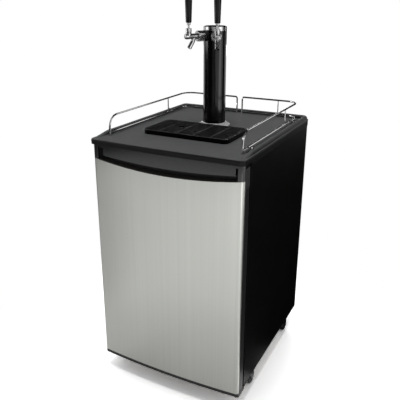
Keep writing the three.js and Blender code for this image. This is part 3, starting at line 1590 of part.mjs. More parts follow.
// A caster is drawn about its swivel axis; its wheel trails towards +Y.
function casterPlate() {
  const raceBottom = CASTER_PLATE_Z - caster.raceHeight;
  const rivetBottom = CROWN_TOP - caster.crownHeight - caster.rivetHeight - caster.rivetGap;
  const half = caster.plateSize / 2;
  return join(
    block([-half, half], [-half, half], [CASTER_PLATE_Z, CASTER_PLATE_Z + caster.plate]),
    bar(caster.race, [raceBottom, CASTER_PLATE_Z + SEAT_GAP]),
    bar(caster.kingpin, [rivetBottom, CASTER_PLATE_Z + SEAT_GAP], FACETS.pin),
    bar(caster.rivet, [rivetBottom, rivetBottom + caster.rivetHeight], FACETS.pin),
  );
}

function casterFork() {
  const [bottom, inner] = [CROWN_TOP - caster.crownHeight, caster.wheelWidth / 2 + caster.legGap];
  const crown = cut(
    bar(caster.crown, [bottom, CROWN_TOP]),
    bar(caster.kingpin + caster.kingpinGap, [bottom - CUT_OVERRUN, CROWN_TOP + CUT_OVERRUN], FACETS.pin),
  );
  const [trail, axle, end] = [caster.trail, caster.wheelRadius, caster.legEnd];
  const foot = LEG_ANGLES.map((angle) => [trail + end * Math.cos(angle), axle + end * Math.sin(angle)]);
  const outline = [[-caster.legFront, bottom + SEAT_GAP], ...foot, [caster.legBack, bottom + SEAT_GAP]];
  const legs = [-1, 1].map((side) => {
    const span = [side * inner, side * (inner + caster.leg)].sort((a, b) => a - b);
    return drawnAlongX(outline, span);
  });
  const pin = layAlongX(bar(caster.axle, [-inner - caster.leg, inner + caster.leg], FACETS.pin));
  return join(crown, ...legs, pin.translate(0, trail, axle));
}

function casterWheel() {
  const [rim, half, hub] = [caster.wheelRadius, caster.wheelWidth / 2, caster.hubRadius];
  const bore = caster.axle + caster.axleGap;
  const profile = [
    [bore, -half],
    [hub - caster.hubRecess, -half],
    [hub, -half + caster.hubRecess],
    [rim - caster.treadRound, -half],
    [rim, -half + caster.treadRound],
    [rim, half - caster.treadRound],
    [rim - caster.treadRound, half],
    [hub, half - caster.hubRecess],
    [hub - caster.hubRecess, half],
    [bore, half],
    [bore, -half],
  ];
  return layAlongX(turned(profile, FACETS.wheel)).translate(0, caster.trail, caster.wheelRadius);
}

addPiece("cabinet_shell", cabinetShell(), "blackPaint");
addPiece("base_pan", basePan(), "zincSteel");
addPiece("back_panel", backPanel(), "blackPaint");
addPiece("bay_panel", bayLining(), "zincSteel");
addPiece("insulation_foam", insulationFoam(), "foam");
addPiece("inner_liner", innerLiner(), "whitePlastic");
addPiece("evaporator_plate", evaporatorPlate(), "aluminium");
addPiece("keg_floor_plate", kegFloorPlate(), "aluminium");
addPiece("thermostat_housing", thermostatHousing(), "whitePlastic");
addPiece("thermostat_knob", thermostatKnob(), "blackPlastic");
addPiece("compressor", compressorPod(), "blackPaint");
addPiece("relay_cover", relayCover(), "blackPlastic");
addPiece("condenser_coil", condenserCoil(), "blackPaint");
addPiece("suction_line", suctionLine(), "copper");
addPiece("cord_gland", cordGland(), "rubber");
addPiece("worktop", worktopMoulding(), "worktopPlastic");
addPiece("guard_rail_left", guardRailHalf(), "chrome");
addPiece("guard_rail_right", guardRailHalf().scale(-1, 1, 1), "chrome");
addPiece("tower_flange", towerFlange(), "chrome");
addPiece("tower_tube", towerTube(), "brushedSteel");
addPiece("tower_cap", towerCap(), "chrome");
addPiece("top_hinge_bracket", topHingeBracket(), "zincSteel");
addPiece("bottom_hinge_bracket", bottomHingeBracket(), "zincSteel");

const trayGroup = new THREE.Group();
trayGroup.position.set(0, TRAY_Y, 0);
cooler.add(trayGroup);
addPiece("drip_tray", dripTray(), "brushedSteel", trayGroup);
addPiece("drip_grille", dripGrille(), "brushedSteel", trayGroup);

const doorGroup = new THREE.Group();
doorGroup.position.set(HINGE_X, HINGE_Y, 0);
cooler.add(doorGroup);
const doorPieces = [
  ["door_skin", doorSkin(), "brushedSteel"],
  ["door_core", doorCore(), "foam"],
  ["door_frame", doorFrame(), "greyPlastic"],
  ["door_liner", doorLiner(), "whitePlastic"],
  ["door_gasket", doorGasket(), "rubber"],
  ["door_cap", doorCap(), "blackPlastic"],
  ["door_bottom_trim", doorBottomTrim(), "blackPlastic"],
];
for (const [name, geometry, finish] of doorPieces) {
  addPiece(name, geometry.translate(-HINGE_X, -HINGE_Y, 0), finish, doorGroup);
}

TAP_ANGLES.forEach((angle, i) => {
  const side = SIDES[i];
  const tap = new THREE.Group();
  tap.position.set(0, TOWER_Y, TAP_AXIS_Z);
  tap.rotation.z = angle - Math.PI / 2;
  cooler.add(tap);
  addPiece(`shank_${side}`, shankTube(), "chrome", tap);
  addPiece(`shank_collar_${side}`, shankCollar(), "blackPlastic", tap);
  addPiece(`coupling_nut_${side}`, couplingNut(), "chrome", tap);
  addPiece(`faucet_body_${side}`, faucetBody(), "chrome", tap);
  addPiece(`faucet_bonnet_${side}`, faucetBonnet(), "chrome", tap);
  addPiece(`faucet_plunger_${side}`, faucetPlunger(), "brushedSteel", tap);
  const lever = new THREE.Group();
  lever.position.set(faucet.leverReach, 0, 0);
  tap.add(lever);
  addPiece(`faucet_lever_${side}`, faucetLever(), "chrome", lever);
  addPiece(`tap_handle_${side}`, tapHandle(), "blackPlastic", lever);
});

for (const [end, y] of CASTER_ROWS) {
  SIDES.forEach((side, i) => {
    const unit = new THREE.Group();
    unit.position.set((2 * i - 1) * (HALF_WIDTH - caster.sideInset), y, 0);
    cooler.add(unit);
    addPiece(`caster_plate_${end}_${side}`, casterPlate(), "zincSteel", unit);
    addPiece(`caster_fork_${end}_${side}`, casterFork(), "zincSteel", unit);
    addPiece(`caster_wheel_${end}_${side}`, casterWheel(), "rubber", unit);
  });
}

export default cooler;
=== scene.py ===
"""Looks, light and camera of the keg cooler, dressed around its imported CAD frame."""

import logging
import math
from collections.abc import Sequence
from dataclasses import dataclass
from enum import Enum

import bmesh
import bpy
from mathutils import Matrix, Vector


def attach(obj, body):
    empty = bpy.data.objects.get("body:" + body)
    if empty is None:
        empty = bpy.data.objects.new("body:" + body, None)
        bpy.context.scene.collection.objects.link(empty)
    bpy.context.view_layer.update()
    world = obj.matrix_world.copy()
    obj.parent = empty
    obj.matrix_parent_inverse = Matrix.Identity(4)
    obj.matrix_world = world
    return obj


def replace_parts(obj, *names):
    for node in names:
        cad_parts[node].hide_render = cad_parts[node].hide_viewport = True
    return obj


LOG = logging.getLogger("keg_cooler")
MM = 0.001
# How deep one form of a piece sits in another.
BITE = 0.3 * MM
# The whole range of a mask or a tone.
FULL = (0.0, 1.0)

RIGHTWARD = Vector((1.0, 0.0, 0.0))
BACKWARD = Vector((0.0, 1.0, 0.0))
UPWARD = Vector((0.0, 0.0, 1.0))

Pair = tuple[float, float]
Triple = tuple[float, float, float]
Colour = Triple
# Radius and height of each ring of a turned form, from the bottom up.
Profile = tuple[Pair, ...]
# What a node's socket takes: another socket, or a plain value.
Feed = bpy.types.NodeSocket | float | Sequence[float]
Inputs = dict[str | int, Feed]


def srgb(red: float, green: float, blue: float) -> Colour:
    """Turns a colour as a screen shows it, from 0 to 255, into Blender's linear one.

    Args:
        red: the red share, from 0 to 255.
        green: the green share, from 0 to 255.
        blue: the blue share, from 0 to 255.

    Returns:
        The three linear values, from 0 to 1.
    """
    shares = [value / 255 for value in (red, green, blue)]
    return tuple(s / 12.92 if s <= 0.04045 else ((s + 0.055) / 1.055) ** 2.4 for s in shares)


def grey(level: float, warmth: float = 0.0) -> Colour:
    """Gives a near-neutral screen grey, a little warmer or cooler.

    Args:
        level: the grey, from 0 to 255.
        warmth: how much red is added and blue is taken away.

    Returns:
        The linear colour.
    """
    return srgb(level + warmth, level, level - warmth)


# Shader graphs


class Graph:
    """Places nodes in one node tree and joins their sockets."""

    def __init__(self, tree: bpy.types.NodeTree) -> None:
        """Starts on a tree, which may already hold nodes."""
        self.tree = tree

    def node(self, kind: str, inputs: Inputs | None = None, **settings: object) -> bpy.types.Node:
        """Adds a node.

        Args:
            kind: the node's type name.
            inputs: what feeds its sockets, by name or number.
            settings: the node's own choices, such as its operation.

        Returns:
            The new node.
        """
        made = self.tree.nodes.new(kind)
        for key, value in settings.items():
            setattr(made, key, value)
        for key, value in (inputs or {}).items():
            self.feed(made.inputs[key], value)
        return made

    def feed(self, socket: bpy.types.NodeSocket, value: Feed) -> None:
        """Joins a socket to another one, or sets its plain value.

        Args:
            socket: the socket that takes the value.
            value: the other socket, or the plain value.
        """
        if isinstance(value, bpy.types.NodeSocket):
            self.tree.links.new(value, socket)
        else:
            socket.default_value = value

    def math(self, operation: str, *values: Feed) -> bpy.types.NodeSocket:
        """Puts values through one Math node and gives its result."""
        inputs = dict(enumerate(values))
        return self.node("ShaderNodeMath", inputs, operation=operation).outputs[0]

    def spread(self, value: Feed, source: Pair, target: Pair) -> bpy.types.NodeSocket:
        """Maps a value from one range to another, held within it.

        Args:
            value: what is mapped.
            source: the range that it comes in.
            target: the range that it leaves in.

        Returns:
            The mapped value's socket.
        """
        inputs = {0: value, 1: source[0], 2: source[1], 3: target[0], 4: target[1]}
        return self.node("ShaderNodeMapRange", inputs).outputs[0]

    def blend(self, share: Feed, first: Feed, second: Feed) -> bpy.types.NodeSocket:
        """Mixes two colours.

        Args:
            share: how much of the second colour is taken.
            first: the first colour.
            second: the second colour.

        Returns:
            The mixed colour's socket.
        """
        made = self.node("ShaderNodeMix", data_type="RGBA")
        for key, value in (("Factor", share), ("A", first), ("B", second)):
            same = [s for s in made.inputs if s.name == key and s.enabled]
            if key != "Factor" and not isinstance(value, bpy.types.NodeSocket):
                value = (*value, 1.0)
            self.feed(same[0], value)
        return next(s for s in made.outputs if s.enabled)

    def share(self, share: float, first: Feed, second: Feed) -> bpy.types.NodeSocket:
        """Adds a share of one value to the rest of another."""
        return self.math("ADD", self.math("MULTIPLY", first, share), self.math("MULTIPLY", second, 1 - share))

    def stretch(self, where: Feed, factors: Feed) -> bpy.types.NodeSocket:
        """Multiplies each axis of a place by its own factor."""
        return self.node("ShaderNodeVectorMath", {0: where, 1: factors}, operation="MULTIPLY").outputs[0]

    def upward(self) -> bpy.types.NodeSocket:
        """How far the surface looks up, from -1 to 1."""
        normal = self.node("ShaderNodeNewGeometry").outputs["Normal"]
        return self.node("ShaderNodeSeparateXYZ", {0: normal}).outputs["Z"]

    def noise(self, where: Feed, scale: Feed, detail: float = 2.0) -> bpy.types.NodeSocket:
        """Reads a noise texture, from 0 to 1.

        Args:
            where: the place that it is read at.
            scale: how many bumps fit in a metre.
            detail: how many finer layers are added.

        Returns:
            The noise value's socket.
        """
        made = self.node("ShaderNodeTexNoise", {"Vector": where, "Scale": scale, "Detail": detail})
        return made.outputs["Fac"]


class Effect(Enum):
    """The shared shader node groups, by name."""

    SOFT_EDGE = "soft_edge"
    PEBBLE = "pebble_grain"
    DRAWN_LINES = "drawn_lines"
    MOTTLE = "mottle"
    DUST = "settled_dust"
    SCUFF = "scuff_marks"


class EffectGroup:
    """One shader node group with named inputs and outputs, open for building."""

    def __init__(self, effect: Effect, inputs: dict[str, Feed], outputs: dict[str, str]) -> None:
        """Makes the group and its sockets.

        Args:
            effect: which shared effect this is.
            inputs: the input sockets' names and first values.
            outputs: the output sockets' names and kinds.
        """
        self.tree = bpy.data.node_groups.new(effect.value, "ShaderNodeTree")
        for name, value in inputs.items():
            kind = "NodeSocketFloat" if isinstance(value, float) else "NodeSocketVector"
            socket = self.tree.interface.new_socket(name, in_out="INPUT", socket_type=kind)
            socket.default_value = value
        for name, kind in outputs.items():
            self.tree.interface.new_socket(name, in_out="OUTPUT", socket_type=kind)
        self.graph = Graph(self.tree)
        self.source = self.graph.node("NodeGroupInput").outputs
        self.sink = self.graph.node("NodeGroupOutput").inputs

    def here(self) -> bpy.types.NodeSocket:
        """The place on the piece, in metres of the part's own frame."""
        return self.graph.node("ShaderNodeTexCoord").outputs["Object"]

    def give(self, name: str, value: bpy.types.NodeSocket) -> None:
        """Joins a value to one of the group's outputs."""
        self.graph.feed(self.sink[name], value)


class Effects:
    """Builds each shared group once and hands it out.

    Attributes:
        edge_lean: how alike the softened and plain normals are where an edge starts and is full.
        fine_scale: how much finer the grain's second layer is than its first.
        fine_share: how strong the second layer is beside the first.
        drift_share: how slow the grain's change of tone is beside its cells.
        wide_share: how slow the lines' wide bands are beside the fine ones.
        band_share: how much of the lines' tone comes from the wide bands.
        patch_range: the noise values between which a patch goes from none to full.
        dust_scale: how many patches of dust fit in a metre.
        dust_range: the noise values between which the dust goes from thin to thick.
        thin_dust: how much dust lies where it is thinnest.
        dust_slope: how far a face looks up where dust starts to stay and where it all stays.
        scratch_ways: how the two layers of scratches are stretched along each axis.
        scratch_range: the noise values between which a scratch starts and is full.
    """

    edge_lean: Pair = (0.995, 0.85)
    fine_scale: float = 1.7
    fine_share: float = 0.4
    drift_share: float = 0.06
    wide_share: float = 0.18
    band_share: float = 0.5
    patch_range: Pair = (0.3, 0.7)
    dust_scale: float = 38.0
    dust_range: Pair = (0.35, 0.75)
    thin_dust: float = 0.25
    dust_slope: Pair = (0.5, 0.95)
    scratch_ways: tuple[Triple, ...] = ((1.0, 9.0, 0.35), (8.0, 1.0, 0.5))
    scratch_range: Pair = (0.71, 0.74)

    @classmethod
    def get(cls, effect: Effect) -> bpy.types.NodeTree:
        """Finds a shared group, or builds it the first time.

        Args:
            effect: which group is asked for.

        Returns:
            The group's node tree.
        """
        made = bpy.data.node_groups.get(effect.value)
        return made or getattr(cls, effect.value)().tree

    @classmethod
    def soft_edge(cls) -> EffectGroup:
        """Rounds the shading of sharp edges and marks where they are."""
        group = EffectGroup(
            Effect.SOFT_EDGE,
            {"Radius": 0.5 * MM},
            {"Normal": "NodeSocketVector", "Edge": "NodeSocketFloat"},
        )
        graph = group.graph
        rounded = graph.node("ShaderNodeBevel", {"Radius": group.source["Radius"]}, samples=4).outputs[0]
        plain = graph.node("ShaderNodeNewGeometry").outputs["Normal"]
        closeness = graph.node("ShaderNodeVectorMath", {0: rounded, 1: plain}, operation="DOT_PRODUCT")
        group.give("Normal", rounded)
        group.give("Edge", graph.spread(closeness.outputs["Value"], cls.edge_lean, FULL))
        return group

    @classmethod
    def pebble_grain(cls) -> EffectGroup:
        """The leather-like grain of a moulded plastic skin."""
        group = EffectGroup(
            Effect.PEBBLE,
            {"Scale": 900.0},
            {"Height": "NodeSocketFloat", "Tone": "NodeSocketFloat"},
        )
        graph, here, scale = group.graph, group.here(), group.source["Scale"]
        cells = graph.node("ShaderNodeTexVoronoi", {"Vector": here, "Scale": scale}, feature="SMOOTH_F1")
        fine = graph.noise(here, graph.math("MULTIPLY", scale, cls.fine_scale), detail=1.0)
        weak = graph.math("MULTIPLY", fine, cls.fine_share)
        group.give("Height", graph.math("ADD", cells.outputs["Distance"], weak))
        group.give("Tone", graph.noise(here, graph.math("MULTIPLY", scale, cls.drift_share), detail=3.0))
        return group

    @classmethod
    def drawn_lines(cls) -> EffectGroup:
        """Fine straight lines from rolling, brushing or turning."""
        group = EffectGroup(
            Effect.DRAWN_LINES,
            {"Pitch": (700.0, 700.0, 3.0)},
            {"Height": "NodeSocketFloat", "Tone": "NodeSocketFloat"},
        )
        graph = group.graph
        stretched = graph.stretch(group.here(), group.source["Pitch"])
        fine = graph.noise(stretched, 1.0, detail=3.0)
        group.give("Height", fine)
        group.give("Tone", graph.share(cls.band_share, graph.noise(stretched, cls.wide_share), fine))
        return group

    @classmethod
    def mottle(cls) -> EffectGroup:
        """Slow uneven patches, as paint and old metal have."""
        group = EffectGroup(Effect.MOTTLE, {"Scale": 9.0}, {"Tone": "NodeSocketFloat"})
        graph = group.graph
        patches = graph.noise(group.here(), group.source["Scale"], detail=4.0)
        group.give("Tone", graph.spread(patches, cls.patch_range, FULL))
        return group

    @classmethod
    def settled_dust(cls) -> EffectGroup:
        """A thin film of dust on faces that look up."""
        group = EffectGroup(Effect.DUST, {"Amount": 0.1}, {"Mask": "NodeSocketFloat"})
        graph = group.graph
        noise = graph.noise(group.here(), cls.dust_scale, detail=5.0)
        patches = graph.spread(noise, cls.dust_range, (cls.thin_dust, 1.0))
        film = graph.math("MULTIPLY", graph.spread(graph.upward(), cls.dust_slope, FULL), patches)
        group.give("Mask", graph.math("MULTIPLY", film, group.source["Amount"]))
        return group

    @classmethod
    def scuff_marks(cls) -> EffectGroup:
        """Sparse thin scratches that run two ways."""
        group = EffectGroup(Effect.SCUFF, {"Scale": 60.0}, {"Mask": "NodeSocketFloat"})
        graph, here = group.graph, group.here()
        layers = []
        for way in cls.scratch_ways:
            noise = graph.noise(graph.stretch(here, way), group.source["Scale"], detail=1.0)
            layers.append(graph.spread(noise, cls.scratch_range, FULL))
        group.give("Mask", graph.math("MAXIMUM", *layers))
        return group


# Finishes


class Surface(Graph):
    """A material's own graph, with the sockets of its Principled shader."""

    def __init__(self, material: bpy.types.Material) -> None:
        """Starts on a material that already has its shader."""
        super().__init__(material.node_tree)
        self.sockets = material.node_tree.nodes["Principled BSDF"].inputs

    def put(self, name: str, value: Feed) -> None:
        """Feeds one of the shader's sockets."""
        self.feed(self.sockets[name], value)

    def fed(self, name: str) -> bpy.types.NodeSocket:
        """What feeds one of the shader's sockets so far."""
        return self.sockets[name].links[0].from_socket

    def effect(self, effect: Effect, **values: Feed) -> bpy.types.NodeOutputs:
        """Places a shared group in the material.

        Args:
            effect: which group is placed.
            values: this material's own values for the group's inputs.

        Returns:
            The group node's outputs.
        """
        return self.node("ShaderNodeGroup", values, node_tree=Effects.get(effect)).outputs


@dataclass(frozen=True)
class Finish:
    """A plain surface, the ground that the other finishes build on.

    Attributes:
        name: its name; its material has another ending than the frame's own materials.
        colour: the linear base colour.
        roughness: the middle roughness.
        specular: the strength of the plain reflection.
        edge: the radius that the shading gives to sharp edges, in metres.
        slot: the record's material slot for a new piece's finish; it is not used.
        patch_scale: how many slow patches fit in a metre.
        gloss_share: how far the roughness strays from its middle, as a share of it.
        tilt: how strongly the relief tilts the shading.
        depth: how deep the relief is, in metres.
    """

    name: str
    colour: Colour
    roughness: float
    specular: float = 0.5
    edge: float = 0.4 * MM
    slot: str = ""
    patch_scale: float = 9.0
    gloss_share: float = 0.08
    tilt: float = 0.02
    depth: float = 0.1 * MM

    def material(self) -> bpy.types.Material:
        """Finds this finish's material, or builds it the first time.

        Returns:
            The material, ready to be given to a piece.
        """
        name = f"{self.name}_finish"
        made = bpy.data.materials.get(name)
        if made is None:
            made = bpy.data.materials.new(name)
            made.use_nodes = True
            made.diffuse_color = (*self.colour, 1.0)
            surface = Surface(made)
            surface.put("Base Color", (*self.colour, 1.0))
            surface.put("Roughness", self.roughness)
            surface.put("Specular IOR Level", self.specular)
            self.shade(surface)
        return made

    def patches(self, surface: Surface) -> bpy.types.NodeSocket:
        """The slow patches' tone, from 0 to 1."""
        return surface.effect(Effect.MOTTLE, Scale=self.patch_scale)["Tone"]

    def gloss(self, surface: Surface, tone: Feed) -> bpy.types.NodeSocket:
        """Spreads the roughness around its middle by a tone from 0 to 1."""
        ends = (self.roughness * (1 - self.gloss_share), self.roughness * (1 + self.gloss_share))
        return surface.spread(tone, FULL, ends)

    def relief(self, surface: Surface, height: Feed) -> None:
        """Joins a height and the softened edges to the shader's normal.

        Args:
            surface: the material's graph and shader.
            height: the height's socket.
        """
        edge = surface.effect(Effect.SOFT_EDGE, Radius=self.edge)
        inputs = {"Height": height, "Strength": self.tilt, "Distance": self.depth, "Normal": edge["Normal"]}
        bump = surface.node("ShaderNodeBump", inputs)
        surface.put("Normal", bump.outputs["Normal"])

    def shade(self, surface: Surface) -> None:
        """Adds what this kind of surface shows; a plain one has slow patches in its gloss.

        Args:
            surface: the material's graph and shader.
        """
        tone = self.patches(surface)
        surface.put("Roughness", self.gloss(surface, tone))
        self.relief(surface, tone)


def toned(colour: Colour, factor: float) -> Colour:
    """Makes a colour darker or lighter by a factor, up to full white."""
    return tuple(min(1.0, value * factor) for value in colour)


@dataclass(frozen=True)
class Enamel(Finish):
    """Baked paint on sheet steel, with orange peel and paint worn thin on the edges.

    Attributes:
        peel: how many peel bumps fit in a metre.
        worn: the colour of the thin paint on edges.
        wear_range: the tones between which the edges go from hardly to fully worn.
        wear: how much of an edge is worn there.
        dust: how much dust lies on it.
        dust_colour: the dust's colour.
    """

    patch_scale: float = 7.0
    gloss_share: float = 0.06
    tilt: float = 0.05
    depth: float = 0.15 * MM
    peel: float = 420.0
    worn: Colour = grey(40)
    wear_range: Pair = (0.2, 1.0)
    wear: Pair = (0.05, 0.5)
    dust: float = 0.05
    dust_colour: Colour = grey(150, 4)

    def shade(self, surface: Surface) -> None:
        """Adds the orange peel, worn edges, patches of gloss and dust.

        Args:
            surface: the material's graph and shader.
        """
        edge = surface.effect(Effect.SOFT_EDGE, Radius=self.edge)["Edge"]
        tone = self.patches(surface)
        thin = surface.math("MULTIPLY", edge, surface.spread(tone, self.wear_range, self.wear))
        film = surface.effect(Effect.DUST, Amount=self.dust)["Mask"]
        colour = surface.blend(film, surface.blend(thin, self.colour, self.worn), self.dust_colour)
        surface.put("Base Color", colour)
        surface.put("Roughness", self.gloss(surface, tone))
        self.relief(surface, surface.effect(Effect.PEBBLE, Scale=self.peel)["Height"])


@dataclass(frozen=True)
class MouldedPlastic(Finish):
    """Injection-moulded plastic with a spark-eroded grain.

    Attributes:
        grain: how many grain cells fit in a metre.
        dust: how much dust lies on it.
        dust_colour: the dust's colour.
        shift: how far the colour drifts between patches.
    """

    gloss_share: float = 0.14
    tilt: float = 0.18
    grain: float = 1100.0
    dust: float = 0.06
    dust_colour: Colour = grey(165)
    shift: float = 0.12

    def shade(self, surface: Surface) -> None:
        """Adds the grain, slow colour drift and dust.

        Args:
            surface: the material's graph and shader.
        """
        pebble = surface.effect(Effect.PEBBLE, Scale=self.grain)
        darker, lighter = toned(self.colour, 1 - self.shift), toned(self.colour, 1 + self.shift)
        ground = surface.blend(pebble["Tone"], darker, lighter)
        film = surface.effect(Effect.DUST, Amount=self.dust)["Mask"]
        surface.put("Base Color", surface.blend(film, ground, self.dust_colour))
        surface.put("Roughness", self.gloss(surface, pebble["Tone"]))
        self.relief(surface, pebble["Height"])


@dataclass(frozen=True)
class DeckPlastic(MouldedPlastic):
    """The worktop's plastic, whose upright faces take a plain darker colour than the grained deck: painted
    shade, as the lamps light them less.

    Attributes:
        upright: how far a face looks up where it turns from upright to deck.
        upright_shade_colour: the upright faces' colour, a painted shade.
    """

    upright: Pair = (0.35, 0.85)
    upright_shade_colour: Colour = grey(26)

    def shade(self, surface: Surface) -> None:
        """Adds the grain and dust, then painted shade: a darker colour on the upright faces.

        Args:
            surface: the material's graph and shader.
        """
        super().shade(surface)
        deck = surface.fed("Base Color")
        # Painted shade: faces that look up keep the deck's colour, and upright faces take the darker one.
        level = surface.spread(surface.upward(), self.upright, FULL)
        surface.put("Base Color", surface.blend(level, self.upright_shade_colour, deck))


@dataclass(frozen=True)
class CapPlastic(MouldedPlastic):
    """The door cap's plastic: behind the visor its pull is rougher and painted darker as painted shade, and
    its up-facing ledge is painted lighter as painted light.

    Attributes:
        pull: where along the door's depth the plastic turns from satin to rough with painted shade, in
            metres.
        pull_shade_colour: the painted shade's colour inside the pull.
        pull_roughness: the plastic's roughness inside the pull.
        pull_top: the height of the pull's roof, in metres.
        ledge: how far a face looks up where it turns into the ledge over the steel, which takes painted
            light.
        ledge_light_colour: the ledge's painted light, a lighter colour where it faces up.
        ledge_roughness: its roughness.
    """

    pull: Pair = (-0.287, -0.283)
    pull_shade_colour: Colour = grey(7)
    pull_roughness: float = 0.8
    pull_top: float = 823 * MM
    ledge: Pair = (0.6, 0.9)
    ledge_light_colour: Colour = grey(66, 4)
    ledge_roughness: float = 0.5

    def shade(self, surface: Surface) -> None:
        """Adds the grain and dust, then the rougher plastic with painted shade inside the pull, and painted
        light on its ledge.

        Args:
            surface: the material's graph and shader.
        """
        super().shade(surface)
        here = surface.node("ShaderNodeTexCoord").outputs["Object"]
        axes = surface.node("ShaderNodeSeparateXYZ", {0: here}).outputs
        below = surface.math("LESS_THAN", axes["Z"], self.pull_top)
        inside = surface.math("MULTIPLY", surface.spread(axes["Y"], self.pull, FULL), below)
        ledge = surface.math("MULTIPLY", surface.spread(surface.upward(), self.ledge, FULL), below)
        # Painted shade darkens the colour inside the pull and painted light lightens its ledge; the roughness
        # changes are the plastic's own.
        for name, dull_and_shaded, ledge_lit_and_rough in (
            ("Base Color", self.pull_shade_colour, self.ledge_light_colour),
            ("Roughness", (self.pull_roughness,) * 3, (self.ledge_roughness,) * 3),
        ):
            satin = surface.fed(name)
            hidden = surface.blend(inside, satin, dull_and_shaded)
            surface.put(name, surface.blend(ledge, hidden, ledge_lit_and_rough))


@dataclass(frozen=True)
class DrawnMetal(Finish):
    """Bare metal with the fine lines that rolling or brushing leaves.

    Attributes:
        pitch: lines per metre along each axis; a low number runs along the lines.
        contrast: how far the lines change the colour.
        line_share: how much of the gloss follows the lines; the rest follows the patches.
    """

    patch_scale: float = 5.0
    gloss_share: float = 0.2
    tilt: float = 0.08
    depth: float = 0.05 * MM
    pitch: Triple = (700.0, 700.0, 4.0)
    contrast: float = 0.1
    line_share: float = 0.7

    def shade(self, surface: Surface) -> None:
        """Adds the lines to the colour, the gloss and the relief.

        Args:
            surface: the material's graph and shader.
        """
        surface.put("Metallic", 1.0)
        lines = surface.effect(Effect.DRAWN_LINES, Pitch=self.pitch)
        darker, lighter = toned(self.colour, 1 - self.contrast), toned(self.colour, 1 + self.contrast)
        surface.put("Base Color", surface.blend(lines["Tone"], darker, lighter))
        tone = surface.share(self.line_share, lines["Tone"], self.patches(surface))
        surface.put("Roughness", self.gloss(surface, tone))
        self.relief(surface, lines["Height"])


@dataclass(frozen=True)
class PolishedMetal(Finish):
    """Bright plated metal with faint wipe marks and scratches.

    Attributes:
        metal: 1 for bare plate, less where a satin film scatters light.
        smeared: how bright the plate is under a wipe mark.
        scratch_scale: how close the scratches lie.
        scratch_gloss: how much roughness a scratch adds.
    """

    patch_scale: float = 45.0
    gloss_share: float = 0.25
    tilt: float = 0.012
    metal: float = 1.0
    smeared: float = 0.93
    scratch_scale: float = 90.0
    scratch_gloss: float = 0.12

    def shade(self, surface: Surface) -> None:
        """Adds smears to the gloss and a few hair scratches.

        Args:
            surface: the material's graph and shader.
        """
        surface.put("Metallic", self.metal)
        smears = self.patches(surface)
        marks = surface.effect(Effect.SCUFF, Scale=self.scratch_scale)["Mask"]
        smeared = toned(self.colour, self.smeared)
        surface.put("Base Color", surface.blend(smears, smeared, self.colour))
        rougher = surface.math("MULTIPLY", marks, self.scratch_gloss)
        surface.put("Roughness", surface.math("ADD", self.gloss(surface, smears), rougher))
        self.relief(surface, smears)


@dataclass(frozen=True)
class GlossLacquer(Finish):
    """Thick glossy black lacquer with wipe marks and fine scratches.

    Attributes:
        scratch_scale: how close the scratches lie.
        scratch_share: how strongly a scratch shows.
        scratch_colour: its colour.
    """

    patch_scale: float = 30.0
    gloss_share: float = 0.1
    tilt: float = 0.004
    scratch_scale: float = 110.0
    scratch_share: float = 0.05
    scratch_colour: Colour = grey(90)

    def shade(self, surface: Surface) -> None:
        """Adds the wipe marks and the scratches.

        Args:
            surface: the material's graph and shader.
        """
        smears = self.patches(surface)
        marks = surface.effect(Effect.SCUFF, Scale=self.scratch_scale)["Mask"]
        faint = surface.math("MULTIPLY", marks, self.scratch_share)
        surface.put("Base Color", surface.blend(faint, self.colour, self.scratch_colour))
        surface.put("Roughness", self.gloss(surface, smears))
        self.relief(surface, smears)


ENAMEL = Enamel("black_enamel", grey(9), 0.42, specular=0.15, worn=grey(30), dust=0.02)
BACK_ENAMEL = Enamel("back_enamel", grey(52), 0.5, specular=0.3, worn=grey(80), dust=0.05)
POT_PAINT = Enamel("compressor_paint", grey(20), 0.38, peel=260.0, tilt=0.1, dust=0.16, slot="black_paint")
WORKTOP = DeckPlastic(
    "worktop_moulding", grey(74, -0.6), 0.46, specular=0.14, edge=1.4 * MM, grain=620.0, dust=0.03, shift=0.06
)
CAP_PLASTIC = CapPlastic("visor_plastic", grey(26, -1.5), 0.26, specular=0.7, edge=1.0 * MM, tilt=0.08)
FRAME_PLASTIC = MouldedPlastic("door_edge_plastic", grey(36), 0.42, edge=0.6 * MM)
BLACK_PLASTIC = MouldedPlastic("black_moulding", grey(22), 0.4, specular=0.4)
WHITE_PLASTIC = MouldedPlastic("white_moulding", grey(228, 3), 0.34, tilt=0.03, dust=0.0, shift=0.02)
HUB_PLASTIC = MouldedPlastic("hub_plastic", grey(46), 0.4, slot="black_plastic")
RUBBER = MouldedPlastic("black_rubber", grey(26), 0.7, specular=0.3, grain=500.0, tilt=0.1)
TYRE = MouldedPlastic("wheel_rubber", grey(30), 0.62, specular=0.3, grain=700.0, tilt=0.16, dust=0.14)
FOAM = MouldedPlastic("rigid_foam", srgb(214, 190, 130), 0.9, specular=0.1, grain=380.0, tilt=0.5)
STEEL = DrawnMetal(
    "brushed_steel", srgb(185, 186, 181), 0.36, contrast=0.13, tilt=0.05, pitch=(800.0, 800.0, 1.2)
)
ZINC = DrawnMetal("zinc_plate", grey(165, 3), 0.38, pitch=(120.0, 500.0, 120.0), contrast=0.12)
FORK_STEEL = DrawnMetal("blackened_steel", grey(52, 1), 0.36, pitch=(260.0, 260.0, 60.0), contrast=0.2)
BRIGHT_BOLT = DrawnMetal("bolt_zinc", grey(150, 2), 0.32, pitch=(400.0, 400.0, 400.0), slot="zinc_steel")
ALUMINIUM = DrawnMetal("aluminium_sheet", grey(168), 0.5, pitch=(500.0, 40.0, 6.0), slot="aluminium_sheet")
CHANNEL_SHEET = DrawnMetal(
    "channel_sheet", grey(196), 0.34, pitch=(60.0, 400.0, 400.0), slot="aluminium_sheet"
)
